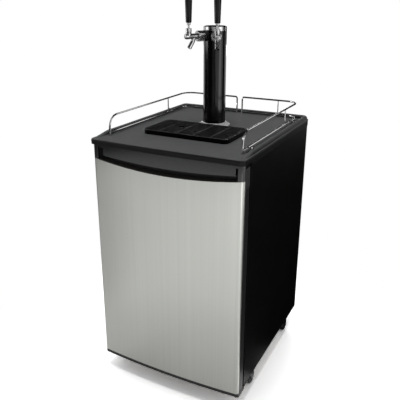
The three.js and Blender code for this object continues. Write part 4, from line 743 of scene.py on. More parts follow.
COPPER = DrawnMetal("copper_tube", srgb(190, 118, 86), 0.3, pitch=(300.0, 300.0, 30.0), slot="copper_tube")
CHROME = PolishedMetal("chrome_plate", grey(215), 0.11, edge=0.35 * MM)
TAP_CHROME = PolishedMetal("tap_plate", grey(172), 0.19, edge=0.35 * MM)
FLANGE_CHROME = PolishedMetal("flange_plate", grey(222), 0.16, metal=0.45)
DULL_STEEL = PolishedMetal("bright_steel", grey(190), 0.2)
TRIM_STEEL = PolishedMetal("trim_steel", grey(116), 0.24, slot="bright_steel", metal=0.75)
TRAY_LACQUER = GlossLacquer("tray_lacquer", grey(6), 0.14, specular=0.05)
GRILLE_LACQUER = GlossLacquer("grille_lacquer", grey(26), 0.3, specular=0.05)
TOWER_LACQUER = GlossLacquer("tower_lacquer", grey(9), 0.14, specular=0.4)
HANDLE_LACQUER = GlossLacquer("handle_lacquer", grey(8), 0.12, specular=0.2)
DARK_PRINT = Finish("dark_print", grey(30), 0.6, slot="black_plastic")
WHITE_PRINT = Finish("white_print", grey(225), 0.6, slot="white_plastic")


# Dressing the frame's own solids


def smooth_by_angle() -> bpy.types.NodeTree:
    """Builds the modifier group that shades every edge smooth but the sharp ones.

    Returns:
        The geometry node group, whose Angle input is the sharpest smooth edge.
    """
    name = "smooth_by_angle"
    tree = bpy.data.node_groups.get(name)
    if tree is None:
        tree = bpy.data.node_groups.new(name, "GeometryNodeTree")
        tree.interface.new_socket("Geometry", in_out="INPUT", socket_type="NodeSocketGeometry")
        tree.interface.new_socket("Angle", in_out="INPUT", socket_type="NodeSocketFloat")
        tree.interface.new_socket("Geometry", in_out="OUTPUT", socket_type="NodeSocketGeometry")
        graph = Graph(tree)
        source = graph.node("NodeGroupInput").outputs
        between = graph.node("GeometryNodeInputMeshEdgeAngle").outputs["Unsigned Angle"]
        inputs = {"A": between, "B": source["Angle"]}
        gentle = graph.node("FunctionNodeCompare", inputs, data_type="FLOAT", operation="LESS_THAN")
        faces = graph.node("GeometryNodeSetShadeSmooth", {"Geometry": source["Geometry"]}, domain="FACE")
        inputs = {"Geometry": faces.outputs[0], "Shade Smooth": gentle.outputs[0]}
        edges = graph.node("GeometryNodeSetShadeSmooth", inputs, domain="EDGE")
        graph.node("NodeGroupOutput", {"Geometry": edges.outputs[0]})
    return tree


@dataclass(frozen=True)
class Rounding:
    """How a piece's edges are rounded and shaded.

    Attributes:
        width: the rounding's width in metres, or 0 for none.
        segments: how many faces go round it.
        sharp: edges that turn more than this, in degrees, are rounded.
        smooth: edges that turn more than this, in degrees, stay crisp.
        merge: points that lie closer than this, in metres, are joined first.
        flat: faces that turn less than this, in degrees, are joined next.
    """

    width: float = 0.4 * MM
    segments: int = 2
    sharp: float = 36.0
    smooth: float = 42.0
    merge: float = 0.01 * MM
    flat: float = 0.4

    def apply(self, piece: bpy.types.Object) -> None:
        """Adds the modifiers; the piece's own vertices stay as they are.

        Args:
            piece: the piece that takes them.
        """
        weld = piece.modifiers.new("weld", "WELD")
        weld.merge_threshold = self.merge
        flat = piece.modifiers.new("flat_faces", "DECIMATE")
        flat.decimate_type = "DISSOLVE"
        flat.angle_limit = math.radians(self.flat)
        if self.width:
            rounded = piece.modifiers.new("rounded_edges", "BEVEL")
            rounded.width = self.width
            rounded.segments = self.segments
            rounded.limit_method = "ANGLE"
            rounded.angle_limit = math.radians(self.sharp)
        shading = piece.modifiers.new("shading", "NODES")
        shading.node_group = smooth_by_angle()
        shading[shading.node_group.interface.items_tree["Angle"].identifier] = math.radians(self.smooth)
        weighted = piece.modifiers.new("flat_shading", "WEIGHTED_NORMAL")
        weighted.keep_sharp = True


FINE = Rounding()
SHEET_EDGE = Rounding(width=0.25 * MM)
UNROUNDED = Rounding(width=0.0)


def dress(node: str, finish: Finish, rounding: Rounding = FINE) -> None:
    """Gives a CAD node its finish and its rounded, smooth edges.

    Args:
        node: the node's name.
        finish: what it is made to look like.
        rounding: how its edges are rounded.
    """
    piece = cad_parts[node]
    mesh = piece.data
    normals = mesh.attributes.get("custom_normal")
    if normals:
        mesh.attributes.remove(normals)
    mesh.shade_smooth()
    rounding.apply(piece)
    mesh.materials.clear()
    mesh.materials.append(finish.material())
    LOG.info("dressed %s in %s", node, finish.name)


def dress_all(finishes: dict[str, Finish], rounding: Rounding = FINE) -> None:
    """Dresses several CAD nodes, each in the finish beside its name."""
    for node, finish in finishes.items():
        dress(node, finish, rounding)


# New pieces


def stand(name: str, data: bpy.types.ID) -> bpy.types.Object:
    """Puts a mesh, a lamp or a camera in the scene.

    Args:
        name: the object's name.
        data: the mesh, the lamp or the camera.

    Returns:
        The object.
    """
    made = bpy.data.objects.new(name, data)
    bpy.context.scene.collection.objects.link(made)
    return made


def meshed(name: str, made: bmesh.types.BMesh, material: bpy.types.Material) -> bpy.types.Object:
    """Turns a finished bmesh into an object.

    Args:
        name: the object's name.
        made: its faces, which are freed.
        material: its material.

    Returns:
        The object.
    """
    mesh = bpy.data.meshes.new(name)
    made.to_mesh(mesh)
    made.free()
    mesh.materials.append(material)
    return stand(name, mesh)


def around(count: int) -> list[Pair]:
    """The cosines and sines of evenly spaced angles round a circle."""
    return [(math.cos(math.tau * k / count), math.sin(math.tau * k / count)) for k in range(count)]


class Shape:
    """One new piece under construction, joined from turned, swept and boxed forms."""

    def __init__(self, name: str) -> None:
        """Starts an empty piece."""
        self.name = name
        self.made = bmesh.new()

    def skin(self, rings: list[list[Vector]], looped: bool = False) -> None:
        """Joins neighbouring rings of points with faces and closes the two ends.

        Args:
            rings: rings of equally many points, in order.
            looped: whether the last ring joins the first.
        """
        rows = [[self.made.verts.new(point) for point in ring] for ring in rings]
        pairs = list(zip(rows, rows[1:] + rows[:1] if looped else rows[1:]))
        for here, after in pairs:
            for k, start in enumerate(here):
                end = (k + 1) % len(here)
                self.made.faces.new((start, here[end], after[end], after[k]))
        if not looped:
            self.made.faces.new(rows[0][::-1])
            self.made.faces.new(rows[-1])

    def turned(self, profile: Profile, place: Vector, axis: Vector, sides: int = 20) -> None:
        """Adds a turned form.

        Args:
            profile: its rings.
            place: where height 0 lies.
            axis: which way its height runs.
            sides: how many faces go round it.
        """
        turn = axis.to_track_quat("Z", "Y").to_matrix()
        rings = []
        for radius, height in profile:
            rings.append([place + turn @ Vector((radius * c, radius * s, height)) for c, s in around(sides)])
        self.skin(rings)

    def swept(
        self, path: Sequence[Vector], radius: float, up: Vector, closed: bool = False, sides: int = 8
    ) -> None:
        """Adds a round wire along a path.

        Args:
            path: the wire's middle points.
            radius: its radius.
            up: a direction square to the path's start; a closed path lies square to it all round.
            closed: whether the path's end joins its start.
            sides: how many faces go round it.
        """
        rings = []
        for k, point in enumerate(path):
            before = path[k - 1] if closed or k else point
            after = path[(k + 1) % len(path)] if closed or k + 1 < len(path) else point
            along = (after - before).normalized()
            across = along.cross(up).normalized()
            up = across.cross(along)
            rings.append([point + radius * (c * across + s * up) for c, s in around(sides)])
        self.skin(rings, looped=closed)

    def box(self, low: Sequence[float], high: Sequence[float]) -> None:
        """Adds a block.

        Args:
            low: its low corner.
            high: its high corner.
        """
        rings = []
        for z in (low[2], high[2]):
            corners = ((low[0], low[1]), (high[0], low[1]), (high[0], high[1]), (low[0], high[1]))
            rings.append([Vector((x, y, z)) for x, y in corners])
        self.skin(rings)

    def place(self, finish: Finish, body: str, rounding: Rounding) -> bpy.types.Object:
        """Ends the piece: gives it its finish and edges and lets it ride on a body.

        Args:
            finish: what it is made to look like.
            body: the body that carries it.
            rounding: how its edges are rounded.

        Returns:
            The new piece.
        """
        bmesh.ops.recalc_face_normals(self.made, faces=self.made.faces)
        piece = meshed(self.name, self.made, finish.material())
        piece.data.shade_smooth()
        rounding.apply(piece)
        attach(piece, body)
        LOG.info("added %s on %s", self.name, body)
        return piece


def rounded_loop(half: Pair, corner: float, middle: Vector, steps: int = 6) -> list[Vector]:
    """Lays out a level rounded rectangle.

    Args:
        half: its half width and half depth.
        corner: the radius of its corners.
        middle: its middle.
        steps: how many points go round each corner.

    Returns:
        Its points, anticlockwise from above.
    """
    points = []
    for quarter, (side_x, side_y) in enumerate(((1, 1), (-1, 1), (-1, -1), (1, -1))):
        inner = middle + Vector((side_x * (half[0] - corner), side_y * (half[1] - corner), 0.0))
        for k in range(steps + 1):
            angle = (quarter + k / steps) * math.pi / 2
            points.append(inner + corner * Vector((math.cos(angle), math.sin(angle), 0.0)))
    return points


def bent(corners: Sequence[Vector], radii: Sequence[float], steps: int = 10) -> list[Vector]:
    """Rounds the corners of a path.

    Args:
        corners: the path's ends and corners.
        radii: the radius of each corner between the ends.
        steps: how many points go round each corner.

    Returns:
        The path's points.
    """
    points = [corners[0]]
    for before, corner, after, radius in zip(corners, corners[1:], corners[2:], radii):
        back, onward = (before - corner).normalized(), (after - corner).normalized()
        half = back.angle(onward) / 2
        middle = corner + (back + onward).normalized() * radius / math.sin(half)
        start, end = (corner + way * radius / math.tan(half) - middle for way in (back, onward))
        turn = start.angle(end)
        for k in range(steps + 1):
            shares = math.sin((1 - k / steps) * turn), math.sin(k / steps * turn)
            points.append(middle + (start * shares[0] + end * shares[1]) / math.sin(turn))
    return points + [corners[-1]]


def to_and_fro(half: float, y: float, heights: Sequence[float]) -> list[Vector]:
    """Lays level runs above each other, each going back over the one below.

    Args:
        half: how far out the runs turn.
        y: where they lie.
        heights: the height of each run; the lowest starts on the right.

    Returns:
        The corners of the runs.
    """
    corners = []
    for run, height in enumerate(heights):
        side = half if run % 2 == 0 else -half
        corners += [Vector((side, y, height)), Vector((-side, y, height))]
    return corners


def steps_between(low: float, high: float, count: int) -> list[float]:
    """Evenly spaced values from low to high."""
    return [low + (high - low) * k / (count - 1) for k in range(count)]


# Sub-assemblies


class Side(Enum):
    """The left and the right side, as the taps and the casters stand."""

    LEFT = "left"
    RIGHT = "right"


class End(Enum):
    """The two rows of casters."""

    FRONT = "front"
    REAR = "rear"


@dataclass(frozen=True)
class Cabinet:
    """The painted shell, its insulation and cabin.

    Attributes:
        shell_edge: how wide the shell's edges are rounded.
        plate_low: the low corner of the evaporator plate's sheet.
        plate_high: its high corner.
        post: the radius and length of its posts.
        post_places: how far out they stand, and the two heights.
        channel: the radius of its raised channel.
        channel_half: how far out the channel turns.
        channel_heights: its lowest and highest run.
        channel_runs: how many level runs it has.
        channel_bend: the radius of its turns.
        dial_middle: the middle of the thermostat's dial, on its housing.
        dot: the form of a dot round the dial.
        dot_ring: how far the dots lie from the dial's middle.
        dot_arc: the first dot's angle, the step to the next and the last, in degrees.
        pointer_low: the low corner of the pointer on the knob.
        pointer_high: its high corner.
        pointer_edge: how wide its edges are rounded.
    """

    shell_edge: float = 0.6 * MM
    plate_low: Triple = (-150 * MM, 229.4 * MM, 476 * MM)
    plate_high: Triple = (150 * MM, 231 * MM, 736 * MM)
    post: Pair = (6 * MM, 5.2 * MM)
    post_places: tuple[float, Pair] = (132 * MM, (494 * MM, 718 * MM))
    channel: float = 3.2 * MM
    channel_half: float = 126 * MM
    channel_heights: Pair = (500 * MM, 712 * MM)
    channel_runs: int = 5
    channel_bend: float = 26.2 * MM
    dial_middle: Triple = (155 * MM, -180 * MM, 763.7 * MM)
    dot: Profile = (
        (0.75 * MM, -0.2 * MM),
        (0.75 * MM, 0.15 * MM),
        (0.5 * MM, 0.25 * MM),
    )
    dot_ring: float = 16.9 * MM
    dot_arc: tuple[int, int, int] = (-30, 30, 210)
    pointer_low: Triple = (154.3 * MM, -196.2 * MM, 767 * MM)
    pointer_high: Triple = (155.7 * MM, -195.6 * MM, 776.5 * MM)
    pointer_edge: float = 0.1 * MM

    def build(self) -> None:
        """Dresses the shell, the pan, the foam, the cabin and what stands in it."""
        dress("cabinet_shell", ENAMEL, Rounding(width=self.shell_edge))
        dress_all({"back_panel": BACK_ENAMEL, "bay_panel": ZINC, "base_pan": ZINC}, SHEET_EDGE)
        dress_all({"keg_floor_plate": ALUMINIUM, "insulation_foam": FOAM}, SHEET_EDGE)
        dress_all({"inner_liner": WHITE_PLASTIC, "thermostat_housing": WHITE_PLASTIC})
        dress_all({"thermostat_knob": BLACK_PLASTIC, "top_hinge_bracket": ZINC, "bottom_hinge_bracket": ZINC})
        self.add_evaporator()
        self.add_dial()

    def add_evaporator(self) -> None:
        """Makes the evaporator plate anew, with a rounder refrigerant channel raised on it."""
        sheet = Shape("evaporator_sheet")
        sheet.box(self.plate_low, self.plate_high)
        radius, length = self.post
        out, heights = self.post_places
        for x in (-out, out):
            for z in heights:
                root = Vector((x, self.plate_high[1] - BITE, z))
                sheet.turned(((0, 0), (radius, 0), (radius, length), (0, length)), root, BACKWARD)
        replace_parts(sheet.place(ALUMINIUM, "cabinet", SHEET_EDGE), "evaporator_plate")
        channel = Shape("evaporator_channel")
        heights = steps_between(*self.channel_heights, self.channel_runs)
        corners = to_and_fro(self.channel_half, self.plate_low[1], heights)
        path = bent(corners, [self.channel_bend] * (len(corners) - 2))
        channel.swept(path, self.channel, BACKWARD, sides=12)
        channel.place(CHANNEL_SHEET, "cabinet", UNROUNDED)

    def add_dial(self) -> None:
        """Prints the dots round the dial and the pointer on its knob."""
        shape = Shape("dial_dots")
        first, step, last = self.dot_arc
        for degrees in range(first, last + 1, step):
            angle = math.radians(degrees)
            out = Vector((math.cos(angle), 0.0, math.sin(angle)))
            shape.turned(self.dot, Vector(self.dial_middle) + self.dot_ring * out, -BACKWARD, sides=12)
        shape.place(DARK_PRINT, "cabinet", UNROUNDED)
        shape = Shape("knob_pointer")
        shape.box(self.pointer_low, self.pointer_high)
        shape.place(WHITE_PRINT, "thermostat_dial", Rounding(width=self.pointer_edge))


@dataclass(frozen=True)
class Refrigeration:
    """The compressor, its relay and the pipes at the back.

    Attributes:
        stub: the place of the compressor's right pipe stub; the left one mirrors it.
        coil_y: where the condenser coil's tube lies.
        coil_tube: the tube's radius.
        coil_half: how far out the coil's turns lie.
        coil_lift: the height of the run from the compressor to the coil.
        coil_height: the coil's lowest and highest run.
        coil_runs: how many level runs it has.
        coil_end: where its end meets the back panel.
        coil_bends: the radius of its bends near the compressor, of its turns and of its end.
        suction: the suction line's corners.
        suction_bend: the radius of its bends.
        suction_tube: its tube's radius.
        panel: how far out and how deep the back panel's screws sit.
        panel_heights: the heights of its screws.
        screw: the form of a screw's head.
        wire: the radius of the thin wires welded across the coil.
        wire_seat: how far off the coil's tube the wires' middles lie.
        wire_half: how far out the wires go from the middle.
        wire_pitch: the step from wire to wire.
        wire_lap: how far the wires reach past the end runs.
        pot_middle: the middle of the compressor's weld seam.
        pot_half: the half width and half depth of the pot there.
        seam: the weld seam's radius.
        seam_steps: how many points go round the seam.
    """

    stub: Triple = (40 * MM, 246 * MM, 239.6 * MM)
    coil_y: float = 288 * MM
    coil_tube: float = 2.9 * MM
    coil_half: float = 195 * MM
    coil_lift: float = 262.3 * MM
    coil_height: Pair = (330 * MM, 801 * MM)
    coil_runs: int = 8
    coil_end: float = 279.5 * MM
    coil_bends: Triple = (9 * MM, 33.3 * MM, 4.2 * MM)
    suction: tuple[Triple, ...] = (
        (-40 * MM, 246 * MM, 239.6 * MM),
        (-40 * MM, 246 * MM, 259.2 * MM),
        (-92 * MM, 222 * MM, 259.2 * MM),
        (-92 * MM, 222 * MM, 283.2 * MM),
    )
    suction_bend: float = 8 * MM
    suction_tube: float = 3.9 * MM
    panel: Pair = (222 * MM, 279.0 * MM)
    panel_heights: tuple[float, ...] = (299 * MM, 424 * MM, 549 * MM, 674 * MM, 799 * MM)
    screw: Profile = (
        (0, 0),
        (4.2 * MM, 0),
        (4.2 * MM, 0.9 * MM),
        (3.5 * MM, 2.0 * MM),
        (1.9 * MM, 2.5 * MM),
        (1.5 * MM, 1.3 * MM),
        (0, 1.3 * MM),
    )
    wire: float = 0.8 * MM
    wire_seat: float = 0.64 * MM
    wire_half: float = 150 * MM
    wire_pitch: float = 10 * MM
    wire_lap: float = 7 * MM
    pot_middle: Triple = (0.0, 246 * MM, 153 * MM)
    pot_half: Pair = (71 * MM, 48 * MM)
    seam: float = 1.7 * MM
    seam_steps: int = 48

    def build(self) -> None:
        """Dresses the pot, the relay and the cord's gland, and adds the pipes and small parts."""
        dress_all({"compressor": POT_PAINT, "relay_cover": BLACK_PLASTIC, "cord_gland": RUBBER})
        self.add_tubes()
        self.add_wires()
        self.add_screws()
        self.add_seam()

    def add_tubes(self) -> None:
        """Bends the coil and the suction line anew, rounder than the frame's own."""
        x, y, z = self.stub
        lift = [(x, y, z), (x, y, self.coil_lift), (x, self.coil_y, self.coil_lift)]
        corners = [Vector(place) for place in (*lift, (self.coil_half, self.coil_y, self.coil_lift))]
        corners += to_and_fro(self.coil_half, self.coil_y, steps_between(*self.coil_height, self.coil_runs))
        corners.append(Vector((corners[-1].x, self.coil_end, corners[-1].z)))
        tight, turn, end = self.coil_bends
        radii = [tight] * 2 + [turn] * (len(corners) - 5) + [end]
        coil = Shape("condenser_tube")
        coil.swept(bent(corners, radii), self.coil_tube, RIGHTWARD, sides=12)
        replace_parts(coil.place(POT_PAINT, "cabinet", UNROUNDED), "condenser_coil")
        line = Shape("suction_tube")
        path = bent([Vector(place) for place in self.suction], [self.suction_bend] * 2)
        line.swept(path, self.suction_tube, BACKWARD, sides=16)
        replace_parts(line.place(COPPER, "cabinet", UNROUNDED), "suction_line")

    def add_wires(self) -> None:
        """Welds the thin upright wires across both faces of the coil."""
        shape = Shape("condenser_wires")
        count = round(2 * self.wire_half / self.wire_pitch)
        low, high = self.coil_height[0] - self.wire_lap, self.coil_height[1] + self.wire_lap
        for side in (-1, 1):
            y = self.coil_y + side * (self.coil_tube + self.wire_seat)
            for k in range(count + 1):
                x = -self.wire_half + k * self.wire_pitch
                shape.swept([Vector((x, y, low)), Vector((x, y, high))], self.wire, BACKWARD, sides=6)
        shape.place(POT_PAINT, "cabinet", UNROUNDED)

    def add_screws(self) -> None:
        """Fixes the back panel's edges with screws."""
        shape = Shape("panel_screws")
        out, y = self.panel
        for x in (-out, out):
            for z in self.panel_heights:
                shape.turned(self.screw, Vector((x, y, z)), BACKWARD, sides=16)
        shape.place(BRIGHT_BOLT, "cabinet", FINE)

    def add_seam(self) -> None:
        """Runs the weld seam round the compressor's pot."""
        shape = Shape("compressor_seam")
        middle, (half_x, half_y) = Vector(self.pot_middle), self.pot_half
        path = [middle + Vector((half_x * c, half_y * s, 0.0)) for c, s in around(self.seam_steps)]
        shape.swept(path, self.seam, UPWARD, closed=True)
        shape.place(POT_PAINT, "cabinet", UNROUNDED)


@dataclass(frozen=True)
class Door:
    """The bowed steel door with its plastic cap, edge frame and seal.

    Attributes:
        skin_edge: how wide the steel skin's edges are rounded.
        cap_edge: how wide the cap's edges are rounded.
    """

    skin_edge: float = 0.3 * MM
    cap_edge: float = 1.2 * MM

    def build(self) -> None:
        """Dresses the skin, the cap with its pull, the trims, the liner and the seal."""
        dress("door_skin", STEEL, Rounding(width=self.skin_edge))
        dress("door_cap", CAP_PLASTIC, Rounding(width=self.cap_edge, segments=3))
        dress_all({"door_frame": FRAME_PLASTIC, "door_bottom_trim": BLACK_PLASTIC, "door_core": FOAM})
        dress_all({"door_liner": WHITE_PLASTIC, "door_gasket": RUBBER})


@dataclass(frozen=True)
class Worktop:
    """The moulded deck with its rim and the chrome rail round it.

    Attributes:
        deck_edge: how wide the deck's edges are rounded.
        rail_edge: how wide the rail's edges are rounded.
    """

    deck_edge: float = 0.8 * MM
    rail_edge: float = 0.2 * MM

    def build(self) -> None:
        """Dresses the deck and both halves of the rail."""
        dress("worktop", WORKTOP, Rounding(width=self.deck_edge, smooth=50.0))
        for side in Side:
            dress(f"guard_rail_{side.value}", CHROME, Rounding(width=self.rail_edge, smooth=60.0))


@dataclass(frozen=True)
class DripTray:
    """The lacquered tray and its lift-out grille, with polished trim.

    Attributes:
        middle: the middle of the tray's top edge.
        half: the tray's half width and half depth.
        corner: the radius of its corners.
        bead: the radius of the bright bead on its edge.
        bead_inset: how far in from the edge the bead lies.
        bars: where the grille's bright bars lie across it.
        bar_half: a bar's half width, half length and half height.
        bar_height: where the bars' middle lies above the floor.
        bar_edge: how wide the bars' edges are rounded.
    """

    middle: Triple = (0.0, -91 * MM, 865.9 * MM)
    half: Pair = (150 * MM, 83 * MM)
    corner: float = 20 * MM
    bead: float = 0.9 * MM
    bead_inset: float = 0.9 * MM
    bars: tuple[float, ...] = (-90 * MM, -30 * MM, 30 * MM, 90 * MM)
    bar_half: Triple = (1.3 * MM, 74 * MM, 0.5 * MM)
    bar_height: float = 865.9 * MM
    bar_edge: float = 0.35 * MM

    def build(self) -> None:
        """Dresses the tray and the grille, and adds the bead and the bars."""
        dress_all({"drip_tray": TRAY_LACQUER, "drip_grille": GRILLE_LACQUER})
        shape = Shape("tray_bead")
        half = tuple(size - self.bead_inset for size in self.half)
        path = rounded_loop(half, self.corner - self.bead_inset, Vector(self.middle))
        shape.swept(path, self.bead, UPWARD, closed=True)
        shape.place(TRIM_STEEL, "tray", UNROUNDED)
        shape = Shape("grille_bars")
        for x in self.bars:
            middle = (x, self.middle[1], self.bar_height)
            low, high = ([m + way * h for m, h in zip(middle, self.bar_half)] for way in (-1, 1))
            shape.box(low, high)
        shape.place(TRIM_STEEL, "grille", Rounding(width=self.bar_edge))


@dataclass(frozen=True)
class TapTower:
    """The column with its flange, cap and two taps.

    Attributes:
        tap_edge: how wide the taps' edges are rounded.
        handle_edge: how wide the handles' edges are rounded.
    """

    tap_edge: float = 0.3 * MM
    handle_edge: float = 0.8 * MM

    def build(self) -> None:
        """Dresses the column, then each tap."""
        dress("tower_tube", TOWER_LACQUER)
        dress_all({"tower_flange": FLANGE_CHROME, "tower_cap": TAP_CHROME})
        for side in Side:
            self.dress_tap(side)

    def dress_tap(self, side: Side) -> None:
        """Dresses one tap, from the shank to the handle.

        Args:
            side: the side that it stands on.
        """
        chromed = ("shank", "coupling_nut", "faucet_body", "faucet_bonnet", "faucet_lever")
        dress_all({f"{name}_{side.value}": TAP_CHROME for name in chromed}, Rounding(width=self.tap_edge))
        dress_all({f"shank_collar_{side.value}": BLACK_PLASTIC, f"faucet_plunger_{side.value}": DULL_STEEL})
        dress(f"tap_handle_{side.value}", HANDLE_LACQUER, Rounding(width=self.handle_edge, segments=3))


@dataclass(frozen=True)
class Casters:
    """The four swivel casters.

    Attributes:
        side_x: how far out the swivel axes stand.
        rows: the axles' places from front to back.
        axle_height: the axles' height.
        fork_half: half the width over a fork's legs.
        bolt: the form of an axle bolt's head.
        hub: the form of a wheel's hub cap.
        wheel_half: half the wheel's width, less the recess at its hub.
        tyre_edge: how wide the tyres' edges are rounded.
    """

    side_x: float = 236 * MM
    rows: tuple[tuple[End, float], ...] = ((End.FRONT, -138 * MM), (End.REAR, 213 * MM))
    axle_height: float = 25 * MM
    fork_half: float = 14.1 * MM
    bolt: Profile = (
        (5.2 * MM, 0.0),
        (5.2 * MM, 0.7 * MM),
        (4.2 * MM, 2.0 * MM),
        (2.2 * MM, 2.6 * MM),
    )
    hub: Profile = (
        (9.5 * MM, 0.0),
        (9.0 * MM, 0.7 * MM),
        (6.0 * MM, 1.1 * MM),
    )
    wheel_half: float = 8 * MM
    tyre_edge: float = 0.8 * MM

    def build(self) -> None:
        """Dresses the plates, forks and wheels, and adds the axle bolts and hub caps."""
        for end, axle_y in self.rows:
            for side in Side:
                place = f"{end.value}_{side.value}"
                dress_all({f"caster_plate_{place}": FORK_STEEL, f"caster_fork_{place}": FORK_STEEL})
                dress(f"caster_wheel_{place}", TYRE, Rounding(width=self.tyre_edge))
                x = -self.side_x if side is Side.LEFT else self.side_x
                axle = Vector((x, axle_y, self.axle_height))
                bolts = self.pair(f"axle_bolts_{place}", axle, self.fork_half, self.bolt)
                bolts.place(BRIGHT_BOLT, f"fork_{place}", FINE)
                caps = self.pair(f"hub_caps_{place}", axle, self.wheel_half, self.hub)
                caps.place(HUB_PLASTIC, f"wheel_{place}", FINE)

    def pair(self, name: str, axle: Vector, out: float, profile: Profile) -> Shape:
        """Turns the same form on both sides of an axle.

        Args:
            name: the piece's name.
            axle: the axle's middle.
            out: how far from it the forms begin.
            profile: the turned form.

        Returns:
            The piece under construction.
        """
        shape = Shape(name)
        for axis in (-RIGHTWARD, RIGHTWARD):
            shape.turned(profile, axle + out * axis, axis)
        return shape


# The studio


@dataclass(frozen=True)
class Softbox:
    """One large soft lamp.

    Attributes:
        name: the lamp's name.
        place: where it stands, in metres.
        aim: the point that it faces.
        size: its width and height in metres.
        power: its power in watts.
        fills: whether it lights matt surfaces too, or only shines in glossy ones.
    """

    name: str
    place: Triple
    aim: Triple
    size: Pair
    power: float
    fills: bool = True

    def build(self) -> None:
        """Makes the lamp."""
        data = bpy.data.lights.new(self.name, "AREA")
        data.shape = "RECTANGLE"
        data.size, data.size_y = self.size
        data.energy = self.power
        lamp = stand(self.name, data)
        lamp.location = self.place
        lamp.rotation_euler = (Vector(self.aim) - Vector(self.place)).to_track_quat("-Z", "Y").to_euler()
        lamp.visible_camera = False
        lamp.visible_diffuse = self.fills
        LOG.info("lamp %s", self.name)


@dataclass(frozen=True)
class MirroredCard:
    """A curved card or a cloth on the floor that only mirrors see, as photographers place beside chrome.

    Attributes:
        name: the card's name.
        turn: where it begins and ends round the object, in degrees from the door's side.
        height: where it begins and ends above the floor, in metres.
        reach: how far it stands from the middle, in metres.
        inner: how far its inner edge lies from the middle, for a cloth on the floor.
        shade: its cloth's grey, from 0 to 255.
        steps: how many flat faces follow its curve.
    """

    name: str
    turn: Pair
    height: Pair
    reach: float = 1.7
    inner: float = 0.0
    shade: float = 8.0
    steps: int = 12

    def build(self) -> None:
        """Makes the card as one curved sheet, or a flat one where it has an inner radius."""
        made = bmesh.new()
        columns = []
        reaches = (self.inner or self.reach, self.reach)
        for k in range(self.steps + 1):
            angle = math.radians(self.turn[0] + (self.turn[1] - self.turn[0]) * k / self.steps)
            way = (math.sin(angle), -math.cos(angle))
            ends = zip(reaches, self.height)
            columns.append([made.verts.new((reach * way[0], reach * way[1], z)) for reach, z in ends])
        for here, after in zip(columns, columns[1:]):
            made.faces.new((here[0], after[0], after[1], here[1]))
        card = meshed(self.name, made, self.cloth())
        card.visible_camera = False
        card.visible_diffuse = False
        card.visible_shadow = False

    def cloth(self) -> bpy.types.Material:
        """Matt cloth of the card's own grey."""
        return Finish(f"cloth_{self.shade:.0f}", grey(self.shade), 0.95, specular=0.0).material()


